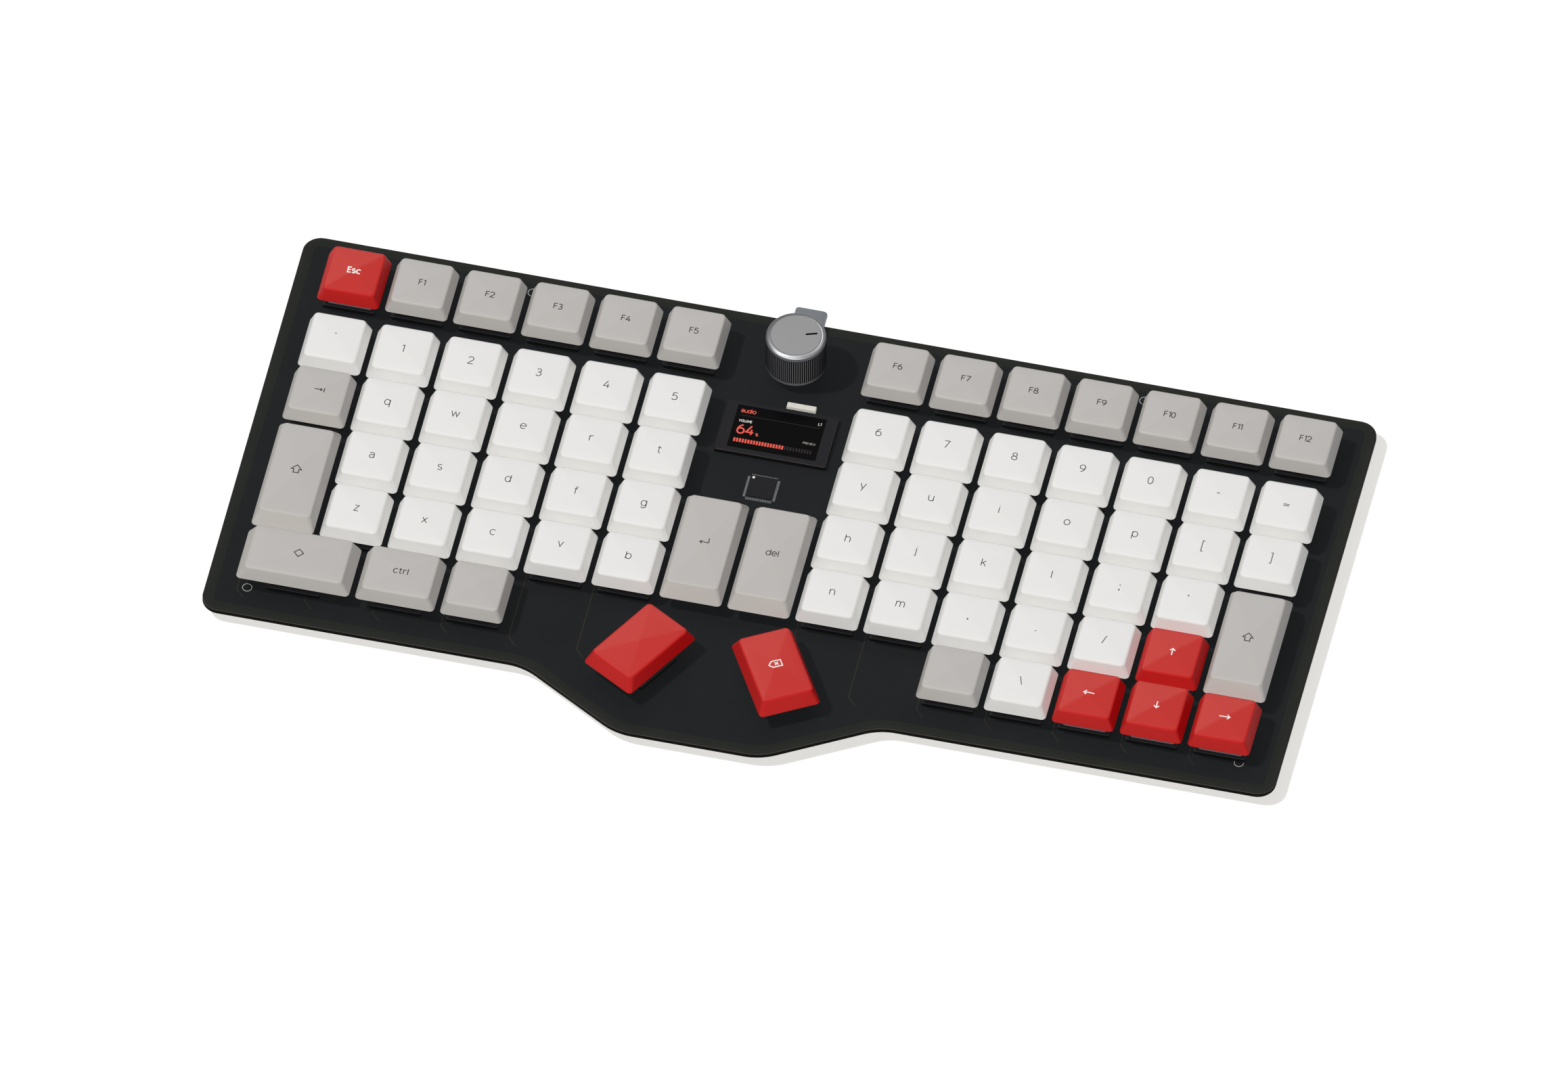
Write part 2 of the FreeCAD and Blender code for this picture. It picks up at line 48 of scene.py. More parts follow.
# Places that several pieces share, in millimetres. The knob's axis is read from its CAD node.
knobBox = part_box("knob")
splitX = (knobBox[0].x + knobBox[1].x) / 2 / mm
firstRow = (knobBox[0].y + knobBox[1].y) / 2 / mm
layout = {
    "pitch": 19.05,
    "functionGap": 4.76,
    "sideColumns": 7,
    "boardUnder": 3.5,
    "boardTop": 5.1,
}
print("frame loaded, knob axis at", round(splitX, 3), round(firstRow, 3))


def srgb(red, green, blue):
    return tuple((v / 255 / 12.92) if v <= 10 else ((v / 255 + 0.055) / 1.055) ** 2.4 for v in (red, green, blue))


def newMaterial(name):
    material = bpy.data.materials.new(name)
    material.use_nodes = True
    tree = material.node_tree
    return material, tree, tree.nodes["Principled BSDF"], tree.nodes.new("ShaderNodeTexCoord").outputs["Object"]


def noiseNode(tree, place, size, detail=2.0, stretch=None):
    noise = tree.nodes.new("ShaderNodeTexNoise")
    noise.inputs["Scale"].default_value = 1 / (size * mm)
    noise.inputs["Detail"].default_value = detail
    if stretch:
        mapping = tree.nodes.new("ShaderNodeMapping")
        mapping.inputs["Scale"].default_value = stretch
        tree.links.new(place, mapping.inputs["Vector"])
        place = mapping.outputs["Vector"]
    tree.links.new(place, noise.inputs["Vector"])
    return noise.outputs["Fac"]


def rangeNode(tree, value, low, high, fromLow=0.3, fromHigh=0.7):
    mapped = tree.nodes.new("ShaderNodeMapRange")
    for name, number in (("From Min", fromLow), ("From Max", fromHigh), ("To Min", low), ("To Max", high)):
        mapped.inputs[name].default_value = number
    tree.links.new(value, mapped.inputs["Value"])
    return mapped.outputs["Result"]


def mathNode(tree, operation, *values):
    node = tree.nodes.new("ShaderNodeMath")
    node.operation = operation
    for socket, value in zip(node.inputs, values):
        if isinstance(value, float):
            socket.default_value = value
        else:
            tree.links.new(value, socket)
    return node.outputs["Value"]


def mixNode(tree, share, first, second):
    mix = tree.nodes.new("ShaderNodeMix")
    mix.data_type = "RGBA"
    tree.links.new(share, mix.inputs["Factor"])
    for socket, colour in ((mix.inputs[6], first), (mix.inputs[7], second)):
        if isinstance(colour, tuple):
            socket.default_value = (*colour, 1)
        else:
            tree.links.new(colour, socket)
    return mix.outputs[2]


def addBump(tree, shader, height, depth):
    bump = tree.nodes.new("ShaderNodeBump")
    bump.inputs["Strength"].default_value = 1
    bump.inputs["Distance"].default_value = depth * mm
    tree.links.new(height, bump.inputs["Height"])
    tree.links.new(bump.outputs["Normal"], shader.inputs["Normal"])


roughnessSwing = 0.04        # how far the roughness wanders to each side


# A finish with soft colour clouds, a fine grain in relief and a roughness that wanders a little
def grainedFinish(name, tint, roughness, specular, metallic, clouds, cloudSize, grainSize, grainDepth, stretch=None):
    material, tree, shader, place = newMaterial(name)
    shader.inputs["Metallic"].default_value = metallic
    shader.inputs["Specular IOR Level"].default_value = specular
    cloud = noiseNode(tree, place, cloudSize, 3)
    darker, lighter = (tuple(min(1, v * share) for v in srgb(*tint)) for share in (1 - clouds, 1 + clouds))
    tree.links.new(mixNode(tree, rangeNode(tree, cloud, 0, 1), darker, lighter), shader.inputs["Base Color"])
    grain = noiseNode(tree, place, grainSize, 2, stretch)
    tree.links.new(rangeNode(tree, grain, roughness - roughnessSwing, roughness + roughnessSwing),
                   shader.inputs["Roughness"])
    addBump(tree, shader, grain, grainDepth)
    return material


# Cap plastic, with painted light and shade. The level top is painted paler than the sides, with a painted sheen
# where the crown leans back or to the left, and the right-hand side has a painted tint of its own: painted light on
# white caps, painted shade on grey and red ones. Each pair says where the change of tint starts and ends.
capShading = {
    "roughness": 0.5,
    "grain": (0.012, 9, 0.16, 0.0035),     # strength and size of the clouds, size and depth of the grain
    "leanWay": (-0.7, 0.7, 0),
    "lean": (-0.03, 0.03),
    "right": (0.55, 0.85),
    "up": (0.93, 0.997),
}


def capPlastic(name, specular, sideTint, paintedTopTint, paintedSheenTint, paintedRightSideTint):
    material = grainedFinish(name, sideTint, capShading["roughness"], specular, 0, *capShading["grain"])
    tree = material.node_tree
    base = tree.nodes["Principled BSDF"].inputs["Base Color"]
    plain = base.links[0].from_socket
    normal = tree.nodes.new("ShaderNodeNewGeometry").outputs["Normal"]
    lean = tree.nodes.new("ShaderNodeVectorMath")
    lean.operation = "DOT_PRODUCT"
    lean.inputs[1].default_value = capShading["leanWay"]
    tree.links.new(normal, lean.inputs[0])
    facing = tree.nodes.new("ShaderNodeSeparateXYZ")
    tree.links.new(normal, facing.inputs["Vector"])
    # The normal picks the painted tints: a painted sheen on the leaning crown, a painted paler top, a painted
    # right-hand side
    leaning = rangeNode(tree, lean.outputs["Value"], 0, 1, *capShading["lean"])
    rightward = rangeNode(tree, facing.outputs["X"], 0, 1, *capShading["right"])
    upward = rangeNode(tree, facing.outputs["Z"], 0, 1, *capShading["up"])
    top = mixNode(tree, leaning, srgb(*paintedTopTint), srgb(*paintedSheenTint))
    side = mixNode(tree, rightward, plain, srgb(*paintedRightSideTint))
    tree.links.new(mixNode(tree, upward, side, top), base)
    return material


# Name, specular, then the colours of the sides, the level top (painted paler), the leaning slopes (painted sheen)
# and the right-hand side (painted light on white caps, painted shade on grey and red ones)
capPlastics = {
    "capWhite": ("cap plastic white, painted light and shade", 0.45, (222, 221, 218), (228, 227, 225), (230, 229, 228), (241, 240, 238)),
    "capGrey": ("cap plastic grey, painted light and shade", 0.4, (183, 179, 174), (183, 179, 176), (185, 182, 179), (178, 175, 173)),
    "capRed": ("cap plastic red, painted light and shade", 0.25, (186, 32, 30), (188, 50, 46), (194, 66, 61), (174, 12, 14)),
}
# Name, colour, roughness, specular, metallic, strength and size of the clouds, size and depth of the grain in mm,
# and for some the stretch of the grain
plainFinishes = {
    "legendDark": ("legend ink dark", (50, 48, 48), 0.55, 0.3, 0, 0.04, 7, 0.1, 0.001),
    "legendWhite": ("legend ink white", (240, 234, 230), 0.5, 0.3, 0, 0.04, 7, 0.1, 0.001),
    "mask": ("solder mask", (32, 34, 35), 0.5, 0.03, 0, 0.06, 14, 0.45, 0.0015),
    # The mask is paler in a band near the board's edge
    "maskBand": ("solder mask, paler band near the edge", (38, 40, 37), 0.5, 0.03, 0, 0.05, 14, 0.45, 0.0015),
    "maskRim": ("solder mask rim", (41, 42, 39), 0.5, 0.03, 0, 0.05, 7, 0.45, 0.0015),
    "maskArris": ("board arris, painted highlight", (50, 49, 44), 0.45, 0.2, 0, 0.08, 7, 0.3, 0.002),
    "laminate": ("laminate edge", (4, 4, 3), 0.6, 0.04, 0, 0.15, 2, 0.12, 0.01, (1, 1, 6)),
    "copper": ("copper under the mask", (50, 45, 36), 0.5, 0.15, 0, 0.1, 7, 0.3, 0.001),
    "ink": ("board ink", (172, 172, 168), 0.6, 0.2, 0, 0.08, 1, 0.1, 0.001),
    "switch": ("switch housing plastic", (19, 19, 20), 0.42, 0.08, 0, 0.06, 7, 0.14, 0.003),
    "switchArris": ("switch housing arris, painted highlight", (44, 44, 44), 0.42, 0.08, 0, 0.04, 7, 0.14, 0.003),
    "switchFlange": ("switch housing flange", (34, 34, 37), 0.42, 0.08, 0, 0.06, 7, 0.14, 0.003),
    "switchPale": ("switch cover foot, painted red reflection", (124, 112, 116), 0.5, 0.2, 0, 0.06, 7, 0.14, 0.003),
    "display": ("display frame plastic", (36, 35, 38), 0.5, 0.05, 0, 0.05, 7, 0.15, 0.002),
    "displayArris": ("display frame arris, painted highlight", (64, 59, 57), 0.4, 0.1, 0, 0.04, 7, 0.15, 0.002),
    "glass": ("display glass", (9, 9, 9), 0.2, 0.03, 0, 0.05, 20, 2, 0.0002),
    "connector": ("connector plastic", (214, 211, 201), 0.55, 0.3, 0, 0.03, 2, 0.1, 0.002),
    "connectorSide": ("connector plastic at the sides", (240, 238, 231), 0.55, 0.3, 0, 0.03, 2, 0.1, 0.002),
    "chip": ("chip moulding", (34, 34, 36), 0.6, 0.06, 0, 0.05, 3, 0.06, 0.003),
    "lead": ("tinned leads", (128, 131, 134), 0.4, 0.5, 0.6, 0.06, 0.6, 0.1, 0.001),
    "steel": ("pressed steel", (118, 121, 126), 0.42, 0.5, 0.85, 0.04, 7, 0.08, 0.0006, (1, 0.08, 1)),
    "knobCollar": ("knob collar", (100, 103, 106), 0.45, 0.15, 0, 0.05, 0.8, 0.1, 0.001, (1, 1, 0.2)),
    "knobGroove": ("knob grooves", (11, 11, 12), 0.6, 0.03, 0, 0.1, 7, 0.2, 0.001),
    "knobLine": ("knob pointer ink", (10, 10, 10), 0.6, 0.03, 0, 0.1, 7, 0.2, 0.001),
    "rubber": ("foot rubber", (22, 22, 22), 0.8, 0.2, 0, 0.08, 3, 0.3, 0.01),
}
finish = {key: capPlastic(*row) for key, row in capPlastics.items()}
finish.update((key, grainedFinish(*row)) for key, row in plainFinishes.items())


# The way a surface faces round the knob, 0 to 1 anticlockwise from +X, for metal with painted highlights on some sides
def facingNode(tree):
    parts = tree.nodes.new("ShaderNodeSeparateXYZ")
    tree.links.new(tree.nodes.new("ShaderNodeNewGeometry").outputs["Normal"], parts.inputs["Vector"])
    turn = mathNode(tree, "ARCTAN2", parts.outputs["Y"], parts.outputs["X"])
    return mathNode(tree, "FRACT", mathNode(tree, "DIVIDE", turn, 2 * math.pi))


# Turned metal: fine rings round the knob's axis, in relief and in roughness
def turnedFinish(name, tone, roughness, metallic, ringPitch, ringDepth):
    material, tree, shader, place = newMaterial(name)
    shader.inputs["Metallic"].default_value = metallic
    shader.inputs["Specular IOR Level"].default_value = 0.4
    centre = tree.nodes.new("ShaderNodeVectorMath")
    centre.operation = "SUBTRACT"
    centre.inputs[1].default_value = (splitX * mm, firstRow * mm, 0)
    tree.links.new(place, centre.inputs[0])
    rings = tree.nodes.new("ShaderNodeTexWave")
    rings.wave_type = "RINGS"
    rings.rings_direction = "Z"
    rings.inputs["Scale"].default_value = 1 / (ringPitch * mm) / 20 * math.pi
    rings.inputs["Distortion"].default_value = 0.6
    tree.links.new(centre.outputs["Vector"], rings.inputs["Vector"])
    # Stops paint highlights and reflections by the side the surface faces
    if isinstance(tone[0], tuple):
        ramp = tree.nodes.new("ShaderNodeValToRGB")
        ramp.color_ramp.interpolation = "B_SPLINE"
        for i, (angle, grey) in enumerate(tone):
            stop = ramp.color_ramp.elements[i] if i < 2 else ramp.color_ramp.elements.new(angle / 360)
            stop.position = angle / 360
            stop.color = (*srgb(grey, grey, min(255, grey + 3)), 1)
        tree.links.new(facingNode(tree), ramp.inputs["Fac"])
        tree.links.new(ramp.outputs["Color"], shader.inputs["Base Color"])
    else:
        tint = srgb(*tone)
        darker = tuple(v * 0.97 for v in tint)
        tree.links.new(mixNode(tree, rings.outputs["Fac"], darker, tint), shader.inputs["Base Color"])
    tree.links.new(rangeNode(tree, rings.outputs["Fac"], roughness - roughnessSwing, roughness + roughnessSwing, 0, 1),
                   shader.inputs["Roughness"])
    addBump(tree, shader, rings.outputs["Fac"], ringDepth)
    return material


# Name, tone, roughness, metallic, pitch and depth of the rings in mm. The tone is a colour, or a painted reflection:
# the side in degrees and how pale it is painted there. The edge in shade is a darker grey for painted shade lines.
turnedFinishes = {
    "knobTop": ("knob face", (147, 147, 147), 0.5, 0.3, 0.12, 0.0006),
    "knobInner": ("knob polished edge, painted reflection", ((0, 235), (30, 245), (55, 165), (90, 105), (160, 90), (205, 145), (250, 150),
                                         (285, 195), (320, 150), (360, 235)), 0.34, 0.2, 0.2, 0.0002),
    "knobMiddle": ("knob polished slope, painted reflection", ((0, 130), (55, 100), (150, 80), (190, 95), (228, 160), (254, 255),
                                           (268, 235), (300, 110), (334, 180), (360, 130)), 0.34, 0.2, 0.2, 0.0002),
    "knobOuter": ("knob polished rim, painted reflection", ((0, 70), (50, 115), (130, 115), (175, 50), (222, 85), (246, 175), (272, 235),
                                        (300, 140), (345, 85), (360, 70)), 0.34, 0.2, 0.2, 0.0002),
    "knobShade": ("knob edge in shade", (112, 114, 118), 0.4, 0.1, 0.2, 0.0002),
    "knobRib": ("knob rib tips, painted glint and shade", ((0, 18), (150, 12), (200, 28), (228, 98), (270, 106), (310, 98), (340, 46),
                                  (360, 18)), 0.5, 0.1, 0.2, 0.0002),
}
finish.update((key, turnedFinish(*row)) for key, row in turnedFinishes.items())


# Lit parts of the screen, a little uneven like real pixels
def litFinish(name, tint):
    material, tree, shader, place = newMaterial(name)
    shader.inputs["Base Color"].default_value = (0.01, 0.01, 0.01, 1)
    shader.inputs["Specular IOR Level"].default_value = 0.1
    cloud = noiseNode(tree, place, 0.12, 1)
    lit = srgb(*tint)
    darker = tuple(v * 0.86 for v in lit)
    tree.links.new(mixNode(tree, rangeNode(tree, cloud, 0, 1), darker, lit), shader.inputs["Emission Color"])
    shader.inputs["Emission Strength"].default_value = 1
    return material


screenTints = {
    "screenRed": (238, 92, 78),
    "screenPale": (205, 200, 194),
    "screenGrey": (150, 142, 136),
    "screenDim": (35, 29, 27),
}
finish.update((key, litFinish(key, tint)) for key, tint in screenTints.items())
print("materials made:", len(finish))


# Turns a built mesh into a piece. Faces that lie flatter than flatAbove, the upward share of their normal, keep facets.
def addPiece(bm, name, body, materials, nodes=(), smoothAngle=35, flatAbove=2):
    mesh = bpy.data.meshes.new(name)
    bmesh.ops.remove_doubles(bm, verts=bm.verts, dist=1e-7)
    bmesh.ops.recalc_face_normals(bm, faces=bm.faces)
    bm.to_mesh(mesh)
    bm.free()
    for key in materials:
        mesh.materials.append(finish[key])
    mesh.polygons.foreach_set("use_smooth", [polygon.normal.z < flatAbove for polygon in mesh.polygons])
    mesh.set_sharp_from_angle(angle=math.radians(smoothAngle))
    piece = bpy.data.objects.new(name, mesh)
    scene.collection.objects.link(piece)
    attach(piece, body)
    if nodes:
        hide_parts(*nodes)


# Points of a rounded rectangle, half sizes hx and hy, with the same number of points at every size
def roundedLoop(hx, hy, radius, steps=5):
    radius = max(0.0, min(radius, hx, hy))
    points = []
    for corner, (sx, sy) in enumerate(((1, 1), (-1, 1), (-1, -1), (1, -1))):
        for step in range(steps + 1):
            turn = math.radians(90 * (corner + step / steps))
            points.append((sx * (hx - radius) + radius * math.cos(turn),
                           sy * (hy - radius) + radius * math.sin(turn)))
    return points


def circleLoop(radius, count):
    return [(radius * math.cos(2 * math.pi * i / count), radius * math.sin(2 * math.pi * i / count))
            for i in range(count)]


# Skins a stack of loops of 3-D points, given in millimetres, and closes its ends
def addLoft(bm, loops, materialIndex=0, closeFoot=True, closeTop=True):
    rings = [[bm.verts.new(tuple(v * mm for v in point)) for point in loop] for loop in loops]
    faces = []
    for low, high in zip(rings, rings[1:]):
        for i in range(len(low)):
            j = (i + 1) % len(low)
            faces.append(bm.faces.new((low[i], low[j], high[j], high[i])))
    if closeFoot:
        faces.append(bm.faces.new(list(reversed(rings[0]))))
    if closeTop:
        faces.append(bm.faces.new(rings[-1]))
    for face in faces:
        face.material_index = materialIndex
    return rings, faces


def placedLoop(points, height, centre=(0, 0), turn=0.0):
    c, s = math.cos(turn), math.sin(turn)
    heights = height if isinstance(height, list) else [height] * len(points)
    return [(centre[0] + x * c - y * s, centre[1] + x * s + y * c, z) for (x, y), z in zip(points, heights)]


# A loft from rows of half width, half depth, corner radius and height
def addStack(bm, rows, centre, turn=0.0, materialIndex=0, closeFoot=True):
    return addLoft(bm, [placedLoop(roundedLoop(hx, hy, radius), z, centre, turn) for hx, hy, radius, z in rows],
                   materialIndex, closeFoot)


# A round loft from rows of radius and height
def addRound(bm, rows, centre, count=20, closeTop=True):
    addLoft(bm, [placedLoop(circleLoop(radius, count), z, centre) for radius, z in rows], closeTop=closeTop)


def addBlock(bm, centre, size, foot, top, corner=0.2, bevel=0.1, turn=0.0, materialIndex=0, draft=0.0, footBevel=0.0):
    hx, hy = size[0] / 2, size[1] / 2
    rows = [(footBevel, foot)] if footBevel else []
    rows += [(0, foot + footBevel), (draft, top - bevel), (draft + bevel, top)]
    return addStack(bm, [(hx - inset, hy - inset, corner, z) for inset, z in rows], centre, turn, materialIndex)


# Key layout, as in the CAD: a column counts from 0 at the left edge, row 0 is the function row
def rowY(row):
    return firstRow - row * layout["pitch"] - (layout["functionGap"] if row else 0)


def seat(column, row, wide=1.0, deep=1.0, legend=""):
    return {"x": (column - layout["sideColumns"]) * layout["pitch"], "y": rowY(row), "turn": 0.0,
            "wide": wide, "deep": deep, "legend": legend}


thumbKeys = {"spread": 19.05, "drop": 9.05, "angle": 30.0}
keySeats = {}
for letters, columns in (("12345 qwert asdfg zxcvb", range(1, 6)), ("67890 yuiop hjkl; nm,./", range(8, 13))):
    rows = letters.split()
    words = {";": "semicolon", ",": "comma", ".": "period", "/": "slash"}
    for i, column in enumerate(columns):
        names = [words.get(row[i], row[i]) for row in rows]
        keySeats[f"keys_{names[0]}_{names[1]}"] = [seat(column, row, legend=rows[row - 1][i]) for row in (1, 2)]
        keySeats[f"keys_{names[2]}_{names[3]}"] = [seat(column, row, legend=rows[row - 1][i]) for row in (3, 4)]
keySeats["keys_minus_bracket_left"] = [seat(13, 1, legend="-"), seat(13, 2, legend="[")]
keySeats["keys_equals_bracket_right"] = [seat(14, 1, legend="="), seat(14, 2, legend="]")]
functionColumns = (1, 2, 3, 4, 5, 8, 9, 10, 11, 12, 13, 14)
for first in range(1, 13, 2):
    keySeats[f"keys_f{first}_f{first + 1}"] = [seat(functionColumns[n - 1], 0, legend=f"F{n}")
                                               for n in (first, first + 1)]
keySeats["keys_control_blank"] = [seat(1.875, 5, wide=1.25, legend="ctrl"), seat(3, 5)]
for name, column, row, legend in (
        ("escape", 0, 0, "Esc"), ("backquote", 0, 1, "`"), ("tab", 0, 2, "tabSign"), ("quote", 13, 3, "'"),
        ("arrow_up", 13, 4, "upSign"), ("blank", 10, 5, ""), ("backslash", 11, 5, "\\"),
        ("arrow_left", 12, 5, "leftSign"), ("arrow_down", 13, 5, "downSign"), ("arrow_right", 14, 5, "rightSign")):
    keySeats[f"key_{name}"] = [seat(column, row, legend=legend)]
for name, column, legend in (("shift_left", 0, "shiftSign"), ("enter", 6, "enterSign"), ("delete", 7, "del"),
                             ("shift_right", 14, "shiftSign")):
    keySeats[f"key_{name}"] = [seat(column, 3.5, deep=2.0, legend=legend)]
keySeats["key_command"] = [seat(0.375, 5, wide=1.75, legend="diamondSign")]
for name, sign, legend in (("left", -1, ""), ("right", 1, "eraseSign")):
    keySeats[f"key_thumb_{name}"] = [{
        "x": splitX + sign * thumbKeys["spread"], "y": rowY(5) - thumbKeys["drop"],
        "turn": math.radians(sign * thumbKeys["angle"]), "wide": 1.0, "deep": 1.5, "legend": legend}]

redKeys = {"key_escape", "key_arrow_up", "key_arrow_left", "key_arrow_down", "key_arrow_right",
           "key_thumb_left", "key_thumb_right"}
greyKeys = {"key_tab", "key_shift_left", "key_shift_right", "key_enter", "key_delete", "key_command",
            "keys_control_blank", "key_blank", *(f"keys_f{n}_f{n + 1}" for n in range(1, 13, 2))}


# What a key's cap is made of, and its slot
def capTone(name):
    return "capRed" if name in redKeys else "capGrey" if name in greyKeys else "capWhite"


# A point given round the middle of a key, as a place on the board
def onKey(key, x, y):
    c, s = math.cos(key["turn"]), math.sin(key["turn"])
    return key["x"] + x * c - y * s, key["y"] + x * s + y * c


missing = set(keySeats) ^ {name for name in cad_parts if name.startswith("key")}
print("key seats:", sum(len(seats) for seats in keySeats.values()), "unmatched:", sorted(missing))


cap = {
    "gap": 1.55,             # between neighbouring caps, at their feet
    "foot": 10.0,
    "shoulder": 13.7,
    "rim": 14.3,
    "apex": 14.65,
    "sideTaper": 1.3,
    "sideGrowth": 1.0,       # more taper for each unit of width
    "frontTaper": 0.95,
    "frontGrowth": 1.5,
    "rimInset": 0.6,
    "rimRadius": 0.78,
    "cornerFoot": 1.25,
    "cornerTop": 1.45,
    "cornerLoss": 0.7,       # corner radius lost over the rounded rim
    "crownShares": (0.3, 0.6, 0.85),
    "crownCorner": 1.4,
    "lip": 1.2,              # wall at the foot
    "wall": 1.1,             # wall under the shoulder
    "hollowCorner": 0.6,
    "roofUnder": 13.0,
    "stem": (6.0, 4.6, 9.4, 13.3),     # width, depth, height of its foot and of its top
    "stemCorner": 0.4,
    "stemBevel": 0.05,
    "stemFootBevel": 0.2,
    "footBevel": 0.15,
}


# Height and inset of one side's outline, from the foot over the rounded rim to the flat facet.
def capProfile(taper, run, arcSteps=6):
    rise = cap["shoulder"] - cap["foot"]
    up = Vector((taper, rise)).normalized()
    along = Vector((run, cap["apex"] - cap["rim"])).normalized()
    edge = Vector((taper + cap["rimInset"], cap["rim"]))
    foot = Vector((0, cap["foot"]))
    gap = edge - foot
    reach = (gap.x * along.y - gap.y * along.x) / (up.x * along.y - up.y * along.x)
    corner = foot + up * reach
    turn = math.acos(max(-1, min(1, up.dot(along))))
    back = cap["rimRadius"] * math.tan(turn / 2)
    start = corner - up * back
    inward = Vector((up.y, -up.x))
    centre = start + inward * cap["rimRadius"]
    profile = [foot + up * cap["footBevel"], foot + (start - foot) * 0.5]
    for step in range(arcSteps + 1):
        a = turn * step / arcSteps
        arm = -inward
        turned = Vector((arm.x * math.cos(a) + arm.y * math.sin(a), -arm.x * math.sin(a) + arm.y * math.cos(a)))
        profile.append(centre + turned * cap["rimRadius"])
    return profile


def capSizes(wide, deep):
    foot = [units * layout["pitch"] / 2 - cap["gap"] / 2 for units in (wide, deep)]
    taper = [cap["sideTaper"] + (wide - 1) * cap["sideGrowth"], cap["frontTaper"] + (deep - 1) * cap["frontGrowth"]]
    return foot, taper


def capTopHeight(wide, deep, x, y):
    foot, taper = capSizes(wide, deep)
    half = [f - t - cap["rimInset"] for f, t in zip(foot, taper)]
    return cap["apex"] - (cap["apex"] - cap["rim"]) * max(abs(x) / half[0], abs(y) / half[1])


def addKeycap(bm, key):
    foot, taper = capSizes(key["wide"], key["deep"])
    place = ((key["x"], key["y"]), key["turn"])
    sides = [capProfile(t, f - t - cap["rimInset"]) for f, t in zip(foot, taper)]
    bevel = cap["footBevel"]
    shape = [(roundedLoop(foot[0] - bevel, foot[1] - bevel, cap["cornerFoot"]), cap["foot"])]
    for level, ((insetX, zX), (insetY, zY)) in enumerate(zip(*sides)):
        radius = cap["cornerFoot"] + (cap["cornerTop"] - cap["cornerFoot"]) * min(1, level / 2)
        radius -= max(0, level - 2) / (len(sides[0]) - 3) * cap["cornerLoss"]
        loop = roundedLoop(foot[0] - insetX, foot[1] - insetY, radius)
        count = len(loop) // 4
        heights = []
        for i in range(len(loop)):
            within = (i % count) / (count - 1)
            weight = math.cos(math.pi / 2 * within) ** 2
            if (i // count) % 2:
                weight = 1 - weight
            heights.append(zX * weight + zY * (1 - weight))
        shape.append((loop, heights))
    topX, topY = foot[0] - sides[0][-1].x, foot[1] - sides[1][-1].x
    lastHeights = shape[-1][1]
    for share in cap["crownShares"]:
        loop = roundedLoop(topX * (1 - share), topY * (1 - share), cap["crownCorner"] * (1 - share))
        shape.append((loop, [z + (cap["apex"] - z) * share for z in lastHeights]))
    rings, _ = addLoft(bm, [placedLoop(points, height, *place) for points, height in shape], 0, False, False)
    tip = bm.verts.new((key["x"] * mm, key["y"] * mm, cap["apex"] * mm))
    for i in range(len(rings[-1])):
        bm.faces.new((rings[-1][i], rings[-1][(i + 1) % len(rings[-1])], tip))
    mouth = (foot[0] - cap["lip"], foot[1] - cap["lip"], max(cap["hollowCorner"], cap["cornerFoot"] - cap["lip"]),
             cap["foot"])
    roof = (*(f - t - cap["wall"] for f, t in zip(foot, taper)), cap["hollowCorner"], cap["roofUnder"])
    inner, _ = addStack(bm, (mouth, roof), *place, closeFoot=False)
    for i in range(len(inner[0])):
        j = (i + 1) % len(inner[0])
        bm.faces.new((rings[0][j], rings[0][i], inner[0][i], inner[0][j]))
    stemX, stemY, stemFoot, stemTop = cap["stem"]
    addBlock(bm, place[0], (stemX, stemY), stemFoot, stemTop, cap["stemCorner"], cap["stemBevel"], place[1],
             footBevel=cap["stemFootBevel"])


for name, seats in keySeats.items():
    bm = bmesh.new()
    for key in seats:
        addKeycap(bm, key)
    tone = capTone(name)
    addPiece(bm, f"cap_{name}", name, [tone], [name], 30, 0.9975)
print("keycaps made")


# Legends: strokes of even width, printed a little proud of the caps
def arc(cx, cy, rx, ry, start, end):
    count = max(3, int(abs(end - start) / 20) + 1)
    angles = [math.radians(start + (end - start) * i / (count - 1)) for i in range(count)]
    return [(cx + rx * math.cos(a), cy + ry * math.sin(a)) for a in angles]


def ring(cx, cy, rx, ry):
    return arc(cx, cy, rx, ry, 0, 360)


